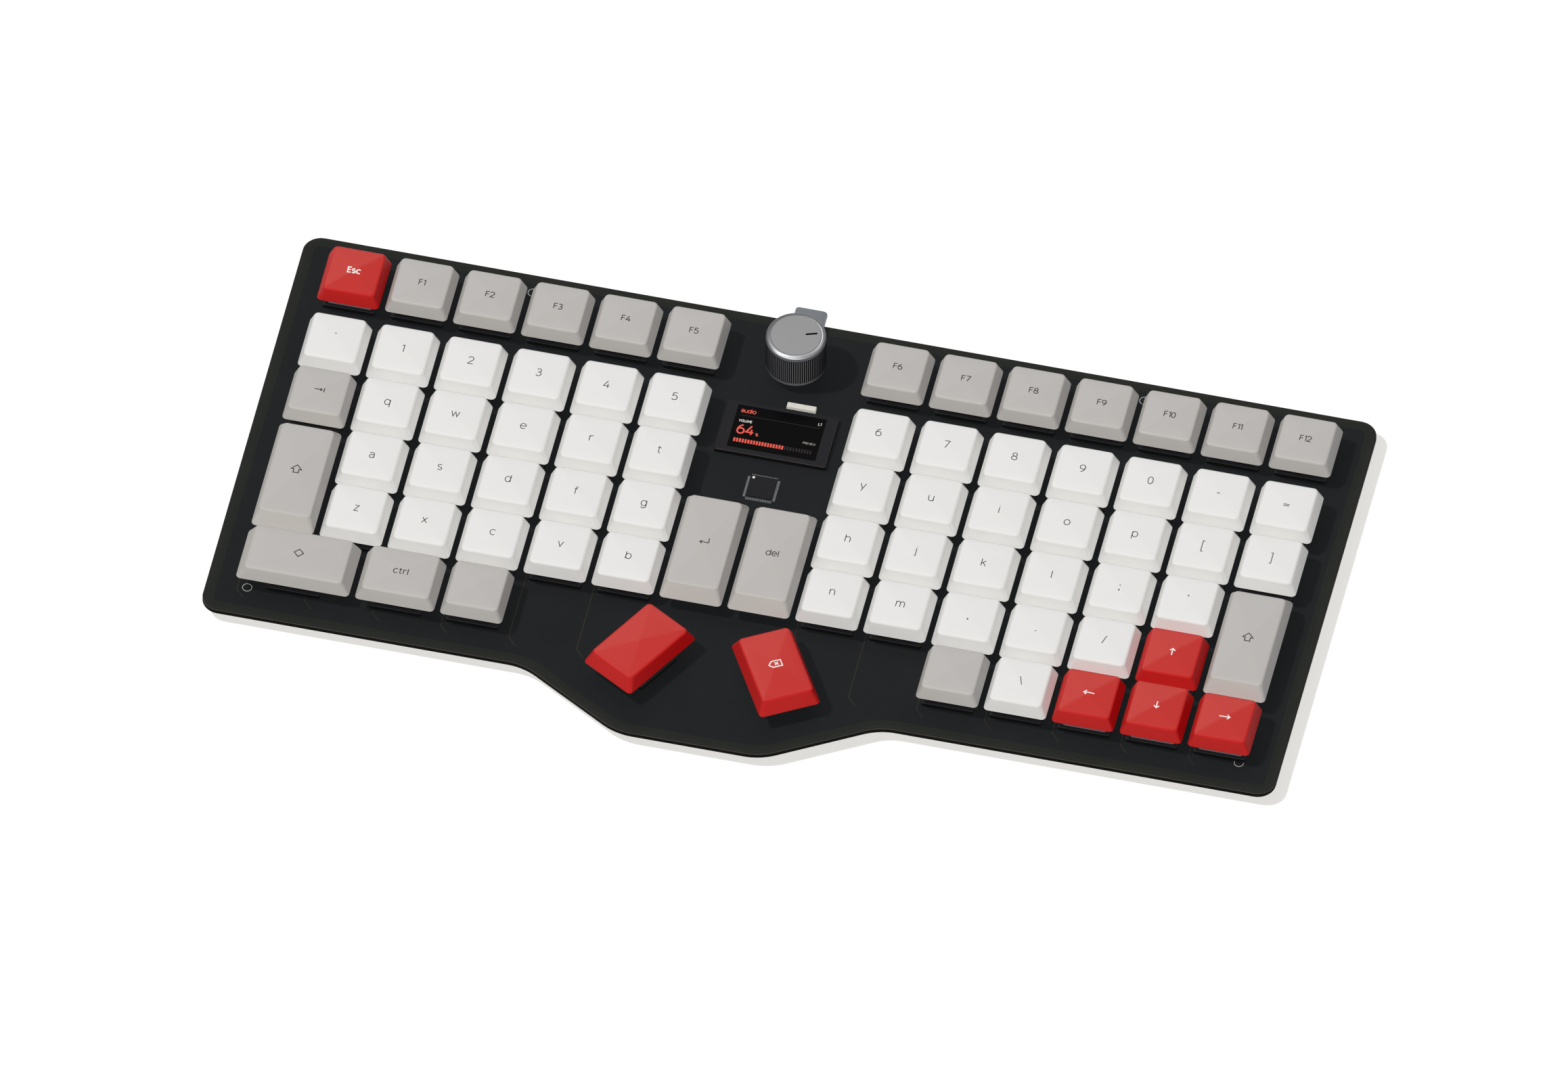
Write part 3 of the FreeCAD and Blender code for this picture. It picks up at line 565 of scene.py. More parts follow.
# Letters as centre lines: the lower-case height is 10 and figures and capitals are 13.3 high
bowl, arch = ring(4, 5, 4, 5), [(0, 6), *arc(3.7, 6, 3.7, 4, 180, 0), (7.4, 0)]
tall, low = [(0, 0), (0, 13.3)], [(0, 0), (0, 10)]
head = [(0, 0), (0, 13.3), (4, 13.3), *arc(4, 9.6, 3.8, 3.7, 90, -90), (0, 5.9)]
letterShapes = {
    "a": [[*arc(3.4, 6.9, 3.5, 3.1, 160, 0), (6.9, 0)], [(6.9, 5.7), (3.2, 5.7), *arc(3.0, 2.85, 2.9, 2.85, 90, 270),
                                                       *arc(3.2, 3.4, 3.7, 3.4, 275, 350)]],
    "b": [tall, bowl],
    "c": [arc(4.4, 5, 4.4, 5, 48, 312)],
    "d": [[(8, 0), (8, 13.3)], bowl],
    "e": [[(0.2, 5.1), (4.2, 5.1), *arc(4.2, 5, 4.2, 5, 2, 316)]],
    "f": [[(1.8, 0), (1.8, 10.5), *arc(4.4, 10.7, 2.6, 2.6, 180, 75)], [(0, 9.2), (5, 9.2)]],
    "g": [bowl, [(8, 10), (8, -0.4), *arc(4, -0.4, 4, 3.6, 0, -145)]],
    "h": [tall, arch],
    "i": [low, [(0, 12.5), (0, 13.7)]],
    "j": [[(2.4, 10), (2.4, -1.4), *arc(0.2, -1.4, 2.2, 2.4, 0, -75)], [(2.4, 12.5), (2.4, 13.7)]],
    "k": [tall, [(6.0, 10), (0.2, 3.9)], [(2.3, 6.0), (6.4, 0)]],
    "l": [tall],
    "m": [low, [(0, 6.4), *arc(3.1, 6.4, 3.1, 3.6, 180, 0), (6.2, 0)],
          [(6.2, 6.4), *arc(9.3, 6.4, 3.1, 3.6, 180, 0), (12.4, 0)]],
    "n": [low, arch],
    "o": [ring(4.4, 5, 4.4, 5)],
    "p": [[(0, -3.9), (0, 10)], bowl],
    "q": [[(8, -3.9), (8, 10)], bowl],
    "r": [low, [(0, 6), *arc(4.2, 6.2, 4.2, 3.8, 180, 78)]],
    "s": [[*arc(3.5, 7.5, 3.0, 2.5, 38, 250), *arc(3.6, 2.5, 3.3, 2.5, 70, -145)]],
    "t": [[(1.9, 12.6), (1.9, 2.4), *arc(4.2, 2.4, 2.3, 2.4, 180, 285)], [(0, 9.6), (5.2, 9.6)]],
    "u": [[(0, 10), (0, 4), *arc(3.7, 4, 3.7, 4, 180, 360), (7.4, 10)], [(7.4, 4), (7.4, 0)]],
    "v": [[(0, 10), (3.8, 0), (7.6, 10)]],
    "w": [[(0, 10), (3, 0), (6, 9.4), (9, 0), (12, 10)]],
    "x": [[(0, 10), (7.4, 0)], [(0, 0), (7.4, 10)]],
    "y": [[(0, 10), (4, 0.2)], [(8, 10), (2.3, -3.9)]],
    "z": [[(0.1, 10), (6.6, 10), (0, 0), (6.8, 0)]],
    "0": [ring(3.8, 6.65, 3.8, 6.65)],
    "1": [[(0, 11.2), (3, 13.3), (3, 0)]],
    "2": [[*arc(4.1, 9.4, 3.9, 3.9, 165, -25), (0.3, 0), (8.4, 0)]],
    "3": [[*arc(3.9, 10.05, 3.4, 3.25, 150, -90), (2.6, 6.8)], [(2.6, 6.8), *arc(3.9, 3.4, 4, 3.4, 90, -150)]],
    "4": [[(5.4, 13.3), (0, 3.5), (8.8, 3.5)], [(6.2, 8), (6.2, 0)]],
    "5": [[(7.4, 13.3), (1.5, 13.3), (0.9, 7.4), *arc(3.9, 4.25, 4.2, 4.25, 130, -150)]],
    "6": [arc(7.2, 4.1, 7.2, 9.2, 100, 180), ring(4.1, 4.1, 4.1, 4.1)],
    "7": [[(0, 13.3), (7.8, 13.3), (2.6, 0)]],
    "8": [ring(4.2, 10.1, 3.3, 3.2), ring(4.2, 3.4, 4.2, 3.4)],
    "9": [arc(1.0, 9.2, 7.2, 9.2, -80, 0), ring(4.1, 9.2, 4.1, 4.1)],
    "E": [[(6.6, 13.3), (0, 13.3), (0, 0), (6.6, 0)], [(0, 6.8), (5.9, 6.8)]],
    "F": [[(0, 0), (0, 13.3), (6.8, 13.3)], [(0, 6.9), (6.1, 6.9)]],
    "I": [tall],
    "L": [[(0, 13.3), (0, 0), (6.4, 0)]],
    "M": [[(0, 0), (0, 13.3), (5.4, 4.5), (10.8, 13.3), (10.8, 0)]],
    "O": [ring(5.6, 6.65, 5.6, 6.65)],
    "P": [head],
    "R": [head, [(4, 5.9), (8, 0)]],
    "U": [[(0, 13.3), (0, 4.6), *arc(4.4, 4.6, 4.4, 4.6, 180, 360), (8.8, 13.3)]],
    "V": [[(0, 13.3), (4.9, 0), (9.8, 13.3)]],
    "W": [[(0, 13.3), (3.6, 0), (7.2, 12.6), (10.8, 0), (14.4, 13.3)]],
    "%": [ring(2.2, 10.6, 2.2, 2.7), ring(8.6, 2.7, 2.2, 2.7), [(8.8, 13.3), (2, 0)]],
    "-": [[(0, 5.4), (5, 5.4)]],
    "=": [[(0, 4.0), (9.2, 4.0)], [(0, 6.9), (9.2, 6.9)]],
    "[": [[(3, 15.4), (0, 15.4), (0, -4.2), (3, -4.2)]],
    "]": [[(0, 15.4), (3, 15.4), (3, -4.2), (0, -4.2)]],
    ";": [[(0, 8), (0, 9.6)], [(0.3, 1.4), (-0.4, -1.2)]],
    "'": [[(0, 13.3), (0, 10.8)]],
    ",": [[(0.3, 1.2), (-0.5, -1.4)]],
    ".": [[(0, -0.3), (0, 1.1)]],
    "/": [[(0, -1), (4.8, 14)]],
    "\\": [[(0, 14), (4.8, -1)]],
    "`": [[(0, 13.6), (1.6, 11.2)]],
}
# Signs in millimetres round the middle of the cap
signShapes = {
    "tabSign": [[(-1.4, 0), (0.7, 0)], [(0.22, 0.45), (0.72, 0), (0.22, -0.45)], [(1.3, 0.72), (1.3, -0.72)]],
    "shiftSign": [[(0, 1.4), (1.48, -0.1), (0.72, -0.1), (0.72, -1.32), (-0.72, -1.32), (-0.72, -0.1),
                   (-1.48, -0.1), (0, 1.4)]],
    "enterSign": [[(1.25, 1.1), (1.25, -0.4), (-1.1, -0.4)], [(-0.55, 0.15), (-1.15, -0.4), (-0.55, -0.95)]],
    "diamondSign": [[(0, 1.3), (1.3, 0), (0, -1.3), (-1.3, 0), (0, 1.3)]],
    "leftSign": [[(-1.4, 0), (1.55, 0)], [(-0.68, 0.7), (-1.4, 0), (-0.68, -0.7)]],
    "rightSign": [[(1.4, 0), (-1.55, 0)], [(0.68, 0.7), (1.4, 0), (0.68, -0.7)]],
    "upSign": [[(0, 1.05), (0, -1.2)], [(-0.72, 0.38), (0, 1.1), (0.72, 0.38)]],
    "downSign": [[(0, -1.05), (0, 1.2)], [(-0.72, -0.38), (0, -1.1), (0.72, -0.38)]],
    "eraseSign": [[(-1.95, 0), (-1.0, 1.05), (1.6, 1.05), (1.6, -1.05), (-1.0, -1.05), (-1.95, 0)],
                  [(-0.3, 0.48), (0.72, -0.48)], [(-0.3, -0.48), (0.72, 0.48)]],
}
boldSigns = ("leftSign", "rightSign", "upSign", "downSign", "eraseSign")
legend = {
    "letterUnit": 0.185,     # mm for one unit of the letters
    "wordUnit": 0.136,
    "lowWordUnit": 0.15,
    "baseline": -1.16,
    "wordBaseline": 0.82,    # words stand this share of it below the middle
    "letterStroke": 0.225,
    "wordStroke": 0.25,
    "signStroke": 0.27,
    "arrowStroke": 0.33,
    "boldStroke": 0.38,
    "boldMarks": ";',.",
    "proud": 0.03,
    "layer": 0.002,          # each stroke of a legend stands this much prouder than the one before
    "sunk": 0.05,
    "longestRun": 0.7,       # straight lines are split at this length
    "spacing": 2.6,
    "lowSpacing": 3.0,
}


# A line of even width as a closed solid that lies on a surface. The surface gives the height at a point.
def addStroke(bm, points, width, surface, proud, sunk, materialIndex=0):
    closed = math.dist(points[0], points[-1]) < 1e-6
    line = [Vector(p) for p in (points[:-1] if closed else points)]
    line = [p for i, p in enumerate(line) if i == 0 or (p - line[i - 1]).length > 1e-5]
    count = len(line)
    rings = []
    for i, here in enumerate(line):
        before = line[i - 1] if i or closed else None
        after = line[(i + 1) % count] if i < count - 1 or closed else None
        into = (here - before).normalized() if before is not None else (after - here).normalized()
        out = (after - here).normalized() if after is not None else into
        across = Vector((-(into.y + out.y), into.x + out.x))
        across = across.normalized() if across.length > 1e-6 else Vector((-into.y, into.x))
        widen = 1 / max(0.5, abs(across.dot(Vector((-into.y, into.x)))))
        left, right = here + across * width / 2 * widen, here - across * width / 2 * widen
        ringPoints = []
        for point, lift in ((left, proud), (left, -sunk), (right, -sunk), (right, proud)):
            x, y, z = surface(point.x, point.y)
            ringPoints.append(bm.verts.new((x * mm, y * mm, (z + lift) * mm)))
        rings.append(ringPoints)
    pairs = list(zip(rings, rings[1:])) + ([(rings[-1], rings[0])] if closed else [])
    faces = []
    for low, high in pairs:
        for i in range(4):
            faces.append(bm.faces.new((low[i], low[(i + 1) % 4], high[(i + 1) % 4], high[i])))
    if not closed:
        faces.append(bm.faces.new(rings[0]))
        faces.append(bm.faces.new(list(reversed(rings[-1]))))
    for face in faces:
        face.material_index = materialIndex


# Long straight runs are split, so that the print follows a crowned surface.
def dividedLine(points, step):
    result = [points[0]]
    for start, end in zip(points, points[1:]):
        parts = max(1, math.ceil(math.dist(start, end) / step))
        for i in range(1, parts + 1):
            result.append((start[0] + (end[0] - start[0]) * i / parts, start[1] + (end[1] - start[1]) * i / parts))
    return result


def wordStrokes(text, unit, spacing):
    strokes, pen = [], 0.0
    for letter in text:
        shapes = letterShapes[letter]
        low = min(x for stroke in shapes for x, _ in stroke)
        high = max(x for stroke in shapes for x, _ in stroke)
        strokes += [[((x - low + pen) * unit, y * unit) for x, y in stroke] for stroke in shapes]
        pen += high - low + spacing
    return strokes, (pen - spacing) * unit


def legendStrokes(text):
    if text in signShapes:
        return signShapes[text], legend["arrowStroke" if text in boldSigns else "signStroke"]
    single = len(text) == 1
    unit = legend["letterUnit"] if single else legend["lowWordUnit" if text.islower() else "wordUnit"]
    strokes, width = wordStrokes(text, unit, legend["lowSpacing" if text.islower() else "spacing"])
    baseline = legend["baseline"] * (1 if single else legend["wordBaseline"])
    stroke = "letterStroke" if single else "wordStroke"
    if text == "Esc" or text in legend["boldMarks"]:
        stroke = "boldStroke"
    return [[(x - width / 2, y + baseline) for x, y in line] for line in strokes], legend[stroke]


def capSurface(key):
    return lambda x, y: (*onKey(key, x, y), capTopHeight(key["wide"], key["deep"], x, y))


for name, seats in keySeats.items():
    if not any(key["legend"] for key in seats):
        continue
    bm = bmesh.new()
    for key in seats:
        if not key["legend"]:
            continue
        strokes, width = legendStrokes(key["legend"])
        for layer, stroke in enumerate(strokes):
            addStroke(bm, dividedLine(stroke, legend["longestRun"]), width, capSurface(key),
                      legend["proud"] + legend["layer"] * layer, legend["sunk"])
    tone = capTone(name)
    addPiece(bm, f"legend_{name}", name,
             ["legendWhite" if tone == "capRed" else "legendDark"])
print("legends made")


board = {
    "halfWidth": 150.4,
    "backEdge": 74.205,
    "frontEdge": -59.605,
    "bulgeEdge": -76.705,
    "bulgeHalf": 49.9,
    "bulgeSlope": 30.0,
    "cornerRadius": 5.1,
    "bulgeRadius": 17.0,
    "arris": 0.18,
    "rimWidth": 1.6,
    "bandWidth": 3.1,
    "frontShare": 0.3,       # an edge faces frontward where it runs to the right by more than this share; there its arris gets a painted highlight
    "arcPoints": 12,
}


# The board's outline, moved inwards by an inset. Convex corners shrink and hollow ones grow.
def boardOutline(inset):
    run = (board["frontEdge"] - board["bulgeEdge"]) / math.tan(math.radians(board["bulgeSlope"]))
    nose = board["bulgeHalf"] - run
    half, back, front, low = board["halfWidth"], board["backEdge"], board["frontEdge"], board["bulgeEdge"]
    r, b = board["cornerRadius"], board["bulgeRadius"]
    corners = [(-half, back, r), (-half, front, r), (splitX - board["bulgeHalf"], front, -b),
               (splitX - nose, low, b), (splitX + nose, low, b), (splitX + board["bulgeHalf"], front, -b),
               (half, front, r), (half, back, r)]
    count = len(corners)
    points = [Vector(c[:2]) for c in corners]
    normals = []
    for i in range(count):
        along = (points[(i + 1) % count] - points[i]).normalized()
        normals.append(Vector((-along.y, along.x)))      # the outline runs anticlockwise, so this points inwards
    loop = []
    for i, (x, y, radius) in enumerate(corners):
        before, after = normals[i - 1], normals[i]
        bisector = (before + after) / (1 + before.dot(after))
        corner = points[i] + bisector * inset
        size = radius - inset if radius > 0 else -radius + inset
        into = Vector((before.y, -before.x))
        out = Vector((after.y, -after.x))
        turn = math.acos(max(-1, min(1, into.dot(out))))
        tangent = size * math.tan(turn / 2)
        start = corner - into * tangent
        side = 1 if radius > 0 else -1
        centre = start + before * size * side
        arm = start - centre
        for step in range(board["arcPoints"] + 1):
            a = side * turn * step / board["arcPoints"]
            loop.append((centre.x + arm.x * math.cos(a) - arm.y * math.sin(a),
                         centre.y + arm.x * math.sin(a) + arm.y * math.cos(a)))
    return loop


boardFinishes = ["mask", "maskBand", "maskRim", "maskArris", "laminate"]
under, top = layout["boardUnder"], layout["boardTop"]
arris, rim, band = board["arris"], board["rimWidth"], board["bandWidth"]
# Inset and height of each outline, from the underside over the edge to the top, with the finish up to the next one.
# The arris is painted pale only where it faces the front, a painted highlight; elsewhere it takes the rim's finish.
levels = ((band, under, "mask"), (arris, under, "maskRim"), (0, under + arris, "laminate"),
          (0, top - arris, "maskArris"), (arris, top, "maskRim"), (rim, top, "maskBand"), (band, top, "mask"))
bm = bmesh.new()
rings = [[bm.verts.new((x * mm, y * mm, z * mm)) for x, y in boardOutline(inset)] for inset, z, _ in levels]
for (_, _, tone), low, high in zip(levels, rings, rings[1:]):
    for i in range(len(low)):
        j = (i + 1) % len(low)
        face = bm.faces.new((low[i], low[j], high[j], high[i]))
        takesPaintedHighlight = low[j].co.x - low[i].co.x > board["frontShare"] * (low[j].co - low[i].co).length
        face.material_index = boardFinishes.index("maskRim" if tone == "maskArris" and not takesPaintedHighlight else tone)
bm.faces.new(rings[-1])
bm.faces.new(list(reversed(rings[0])))
addPiece(bm, "board_plate", "board", boardFinishes, ["circuit_board"], 20)

boardMarks = {
    "ringRadius": 1.3,
    "ringStroke": 0.17,
    "ringPlaces": ((-139.0, -50.0), (139.0, -50.0), (-85.725, 68.03), (85.725, 68.03)),
    "traceColumns": (0, 1, 2, 3, 4, 5, 8, 9, 10, 11, 12, 13, 14),
    "traceShift": 1.2,
    "traceBack": -80.0,
    "traceEnd": -108.7,
    "traceJog": 2.4,
    "traceStroke": 0.2,
    "proud": 0.008,
    "sunk": 0.05,
}


def onBoard(x, y):
    return x, y, layout["boardTop"]


bm = bmesh.new()
for x, y in boardMarks["ringPlaces"]:
    circle = [(x + px, y + py) for px, py in ring(0, 0, boardMarks["ringRadius"], boardMarks["ringRadius"])]
    addStroke(bm, circle, boardMarks["ringStroke"], onBoard, boardMarks["proud"] * 2,
              boardMarks["sunk"])
addPiece(bm, "board_rings", "board", ["ink"])

bm = bmesh.new()
for column in boardMarks["traceColumns"]:
    x = (column - 0.5 - layout["sideColumns"]) * layout["pitch"] + boardMarks["traceShift"]
    end, jog = firstRow + boardMarks["traceEnd"], boardMarks["traceJog"]
    path = [(x, firstRow + boardMarks["traceBack"]), (x, end), (x + jog, end - jog)]
    addStroke(bm, path, boardMarks["traceStroke"], onBoard, boardMarks["proud"], boardMarks["sunk"])
addPiece(bm, "board_traces", "board", ["copper"])
print("board made")


# Switch housings, one under each cap. The flange's arris has a painted highlight and its top is painted lighter
# than its sides; the foot of the cover is painted paler under the red caps, a painted reflection of the red cap.
housing = {
    "base": 14.5,
    "baseTop": 6.5,
    "bevel": 0.14,
    "corner": 0.5,
    "cover": 12.6,
    "coverTop": 11.4,
    "coverCorner": 0.9,
    "top": 9.9,
    "topBevel": 0.25,
    "topCorner": 0.8,
    "well": (6.3, 4.9),
    "wellCorner": 0.3,
    "paleFoot": 0.5,
}
housingFinishes = ["switch", "switchArris", "switchFlange", "switchPale"]


def addHousing(bm, key, red):
    base, bevel, baseTop, top = housing["base"] / 2, housing["bevel"], housing["baseTop"], housing["top"]
    cover, coverCorner = housing["cover"] / 2, housing["coverCorner"]
    coverTop, topBevel = housing["coverTop"] / 2, housing["topBevel"]
    wellX, wellY = (size / 2 for size in housing["well"])
    stack = ((base, base, housing["corner"], layout["boardTop"]), (base, base, housing["corner"], baseTop - bevel),
             (base - bevel, base - bevel, housing["corner"], baseTop), (cover, cover, coverCorner, baseTop),
             (cover, cover, coverCorner, baseTop + housing["paleFoot"]),
             (coverTop, coverTop, coverCorner, top - topBevel),
             (coverTop - topBevel, coverTop - topBevel, housing["topCorner"], top),
             (wellX, wellY, housing["wellCorner"], top), (wellX, wellY, housing["wellCorner"], baseTop))
    rings, faces = addStack(bm, stack, (key["x"], key["y"]), key["turn"])
    count = len(rings[0])
    # Painted highlight on the arris, painted light on the flange's top, painted red reflection at the foot under red
    # caps
    for level, tone in ((1, "switchArris"), (2, "switchFlange"), (3, "switchPale" if red else "switch")):
        for face in faces[level * count:(level + 1) * count]:
            face.material_index = housingFinishes.index(tone)


bm = bmesh.new()
for name, seats in keySeats.items():
    for key in seats:
        addHousing(bm, key, name in redKeys)
addPiece(bm, "switch_housings_detail", "board", housingFinishes,
         ["switch_housings"])

socket = {
    "length": 9.6,
    "width": 4.7,
    "height": 1.85,
    "offset": 5.0,
    "raise": 0.35,           # the body's underside above the barrels' ends
    "corner": 0.9,
    "bevel": 0.05,
    "footBevel": 0.25,
    "skew": 0.8,             # the two barrels and pads lie off the middle line by this much
    "barrel": 1.45,
    "barrelHole": 0.75,
    "barrelHoleDepth": 0.5,
    "barrelDepth": 0.6,
    "barrelSpread": 2.5,
    "padLength": 1.7,
    "padWidth": 2.2,
    "padThick": 0.3,
    "padOverlap": 0.2,
    "padCorner": 0.2,
    "padBevel": 0.02,
}
socketTop = layout["boardUnder"]
socketFoot = socketTop - socket["height"]
barrelLevels = ((socket["barrelHole"], socketFoot + socket["barrelHoleDepth"]), (socket["barrelHole"], socketFoot),
                (socket["barrel"], socketFoot), (socket["barrel"], socketFoot + socket["barrelDepth"]))
padReach = socket["length"] / 2 + socket["padLength"] / 2 - socket["padOverlap"]
bm = bmesh.new()
for seats in keySeats.values():
    for key in seats:
        addBlock(bm, onKey(key, 0, socket["offset"]), (socket["length"], socket["width"]),
                 socketFoot + socket["raise"], socketTop, socket["corner"], socket["bevel"], key["turn"],
                 footBevel=socket["footBevel"])
        for side in (-1, 1):
            y = socket["offset"] + side * socket["skew"]
            addRound(bm, barrelLevels, onKey(key, side * socket["barrelSpread"], y), closeTop=False)
            addBlock(bm, onKey(key, side * padReach, y), (socket["padLength"], socket["padWidth"]),
                     socketTop - socket["padThick"], socketTop, socket["padCorner"], socket["padBevel"],
                     key["turn"], 1)
addPiece(bm, "hotswap_sockets_detail", "board",
         ["switch", "lead"], ["hotswap_sockets"])
print("switches made")


screen = {
    "frame": (31.2, 17.7),
    "frameTop": 6.6,
    "drop": 23.95,
    "corner": 0.4,
    "topCorner": 0.35,
    "bevel": 0.12,
    "paleFrom": 15,          # the arris is painted pale in front and at the right, a painted highlight: its faces from this one on
    "glass": (24.7, 14.8),
    "glassShift": 0.2,
    "glassGap": 0.05,
    "glassDepth": 0.5,
    "ink": 0.012,
    "layer": 0.001,
    "sunk": 0.02,
    "spacing": 2.8,
    "capitalUnits": 13.3,    # heights of the letters in their own units
    "lowUnits": 10.5,
    "line": (1.2, 23.6, 3.46, 0.14),           # left and right end, distance from the glass's back edge, stroke
    "segments": 28,
    "litSegments": 18,
    "segmentPlace": (1.5, 0.79, 11.55, 12.85),     # first one, step, upper and lower end
    "segmentStrokes": (0.52, 0.42),            # lit and dim
}
screenFinishes = ["display", "switch", "displayArris"]
screenY = firstRow - screen["drop"]
glassY = screenY + screen["glassShift"]
hx, hy = (size / 2 for size in screen["frame"])
gx, gy = (size / 2 + screen["glassGap"] for size in screen["glass"])
frameTop, bevel = screen["frameTop"], screen["bevel"]
bm = bmesh.new()
stack = ((hx, hy, screen["corner"], layout["boardTop"], screenY), (hx, hy, screen["corner"], frameTop - bevel, screenY),
         (hx - bevel, hy - bevel, screen["topCorner"], frameTop, screenY),
         (gx, gy, screen["glassGap"], frameTop, glassY),
         (gx, gy, screen["glassGap"], frameTop - screen["glassDepth"], glassY))
rings, faces = addLoft(bm, [placedLoop(roundedLoop(x, y, radius), z, (splitX, middleY))
                            for x, y, radius, z, middleY in stack])
count = len(rings[0])
# The frame's sides take the black housing plastic, darker than its top: painted shade
for face in faces[:count]:
    face.material_index = screenFinishes.index("switch")
# Painted highlight on the arris in front and at the right
for face in faces[count + screen["paleFrom"]:2 * count]:
    face.material_index = screenFinishes.index("displayArris")
addPiece(bm, "display_module", "board", screenFinishes, ["display_frame"])

glassLeft = splitX - screen["glass"][0] / 2
glassTop = glassY + screen["glass"][1] / 2


def onGlass(x, y):
    return glassLeft + x, glassTop - y, frameTop


# Words and marks on the screen: text, left or right edge, baseline below the glass edge, height, stroke, tint
screenWords = (
    ("audio", 1.25, "left", 2.5, 1.0, 0.2, "screenRed"),
    ("L1", 23.6, "right", 2.5, 1.0, 0.18, "screenPale"),
    ("VOLUME", 1.3, "left", 5.8, 0.9, 0.19, "screenPale"),
    ("64", 1.55, "left", 10.0, 3.5, 0.46, "screenRed"),
    ("%", 6.8, "left", 9.9, 1.05, 0.16, "screenRed"),
    ("PREVIEW", 23.55, "right", 9.65, 0.78, 0.12, "screenGrey"),
)
tints = list(screenTints)


def addGlow(bm, points, stroke, tint, layer=0):
    addStroke(bm, points, stroke, onGlass, screen["ink"] + screen["layer"] * layer, screen["sunk"], tints.index(tint))


bm = bmesh.new()
for text, edge, anchor, baseline, height, stroke, tint in screenWords:
    unit = height / screen["lowUnits"] if text.islower() else (height - stroke) / screen["capitalUnits"]
    strokes, width = wordStrokes(text, unit, screen["spacing"])
    start = edge if anchor == "left" else edge - width
    for layer, line in enumerate(strokes):
        addGlow(bm, [(start + x, baseline - stroke / 2 - y) for x, y in line], stroke, tint, layer)
left, right, drop, stroke = screen["line"]
addGlow(bm, [(left, drop), (right, drop)], stroke, "screenDim")
first, step, upper, lower = screen["segmentPlace"]
for i in range(screen["segments"]):
    lit = i < screen["litSegments"]
    x = first + i * step
    addGlow(bm, [(x, upper), (x, lower)], screen["segmentStrokes"][0 if lit else 1],
            "screenRed" if lit else "screenDim")
addPiece(bm, "display_picture", "board", tints)

connector = {
    "length": 8.25,
    "width": 1.8,
    "height": 1.0,
    "shift": 4.5,
    "drop": 12.9,
    "corner": 0.12,
    "bevel": 0.1,
    "paleFaces": 16,         # of the 24 faces round the sides, from the back over the left, painted paler than the top: painted light
    "leads": 10,
    "leadPitch": 0.7,
    "leadSize": (0.28, 0.12),
    "leadTop": 0.35,
    "leadGap": 0.02,
    "leadCorner": 0.03,
}
connectorFinishes = ["connector", "lead", "connectorSide"]
bm = bmesh.new()
deck = layout["boardTop"]
place = (splitX + connector["shift"], firstRow - connector["drop"])
_, faces = addBlock(bm, place, (connector["length"], connector["width"]), deck, deck + connector["height"],
                    connector["corner"], connector["bevel"], draft=connector["bevel"])
# The back and left sides are painted paler than the top: painted light
for face in faces[:connector["paleFaces"]]:
    face.material_index = connectorFinishes.index("connectorSide")
gap = connector["leadGap"]
for i in range(connector["leads"]):
    x = place[0] + (i - (connector["leads"] - 1) / 2) * connector["leadPitch"]
    addBlock(bm, (x, place[1] + connector["width"] / 2 + gap), connector["leadSize"], deck + gap,
             deck + connector["leadTop"], connector["leadCorner"], gap, materialIndex=1)
addPiece(bm, "display_connector_detail", "board",
         connectorFinishes, ["display_connector"])

chip = {
    "body": 7.5,
    "top": 6.1,
    "foot": 5.22,
    "corner": 0.25,
    "footInset": 0.12,
    "waist": 0.06,           # half the height of the upright band round the middle, and the top bevel's height
    "topInsets": (0.1, 0.16),
    "drop": 42.8,
    "leads": 16,
    "pitch": 0.46,
    "leadWidth": 0.26,
    "leadThick": 0.14,
    "leadReach": 0.75,
    "dot": 0.38,
    "dotInset": 0.95,
    "dotProud": 0.012,
    "dotSunk": 0.05,
}
chipY = firstRow - chip["drop"]
half, waist, lift = chip["body"] / 2, chip["waist"], chip["leadThick"] / 2
# A lead's way: distance from the body's side, height above the board, and 1 where its cut leans at a bend
leadPath = ((-0.1, 0.22, 0), (0.08, 0.22, 0), (0.16, 0.09, 1), (chip["leadReach"], 0.09, 0))
leadCorners = ((-1, lift), (1, lift), (1, -lift), (-1, -lift))
middle = (chip["top"] + chip["foot"]) / 2
bm = bmesh.new()
stack = ((chip["footInset"], chip["foot"]), (0, middle - waist), (0, middle + waist),
         (chip["topInsets"][0], chip["top"] - waist), (chip["topInsets"][1], chip["top"]))
addStack(bm, [(half - inset, half - inset, chip["corner"], z) for inset, z in stack], (splitX, chipY))
for side in range(4):
    for i in range(chip["leads"]):
        offset = (i - (chip["leads"] - 1) / 2) * chip["pitch"]
        rings = []
        for reach, height, lean in leadPath:
            points = [(half + reach + rise * lean, offset + across * chip["leadWidth"] / 2)
                      for across, rise in leadCorners]
            rings.append(placedLoop(points, [deck + height + rise for _, rise in leadCorners], (splitX, chipY),
                                    side * math.pi / 2))
        addLoft(bm, rings, 1)
addPiece(bm, "microcontroller_detail", "board", ["chip", "lead"], ["microcontroller"])
bm = bmesh.new()
dotPlace = (splitX - half + chip["dotInset"], chipY + half - chip["dotInset"])
addRound(bm, ((chip["dot"], chip["top"] - chip["dotSunk"]), (chip["dot"], chip["top"] + chip["dotProud"])), dotPlace)
addPiece(bm, "chip_mark", "board", ["legendWhite"])
print("screen and chip made")

for name, key in (("display_screen", "glass"), ("usb_shell", "steel"), ("usb_tongue", "switch"),
                  ("encoder_body", "chip"), ("encoder_rotor", "switch"), ("encoder_shaft", "steel")):
    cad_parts[name].data.materials.clear()
    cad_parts[name].data.materials.append(finish[key])


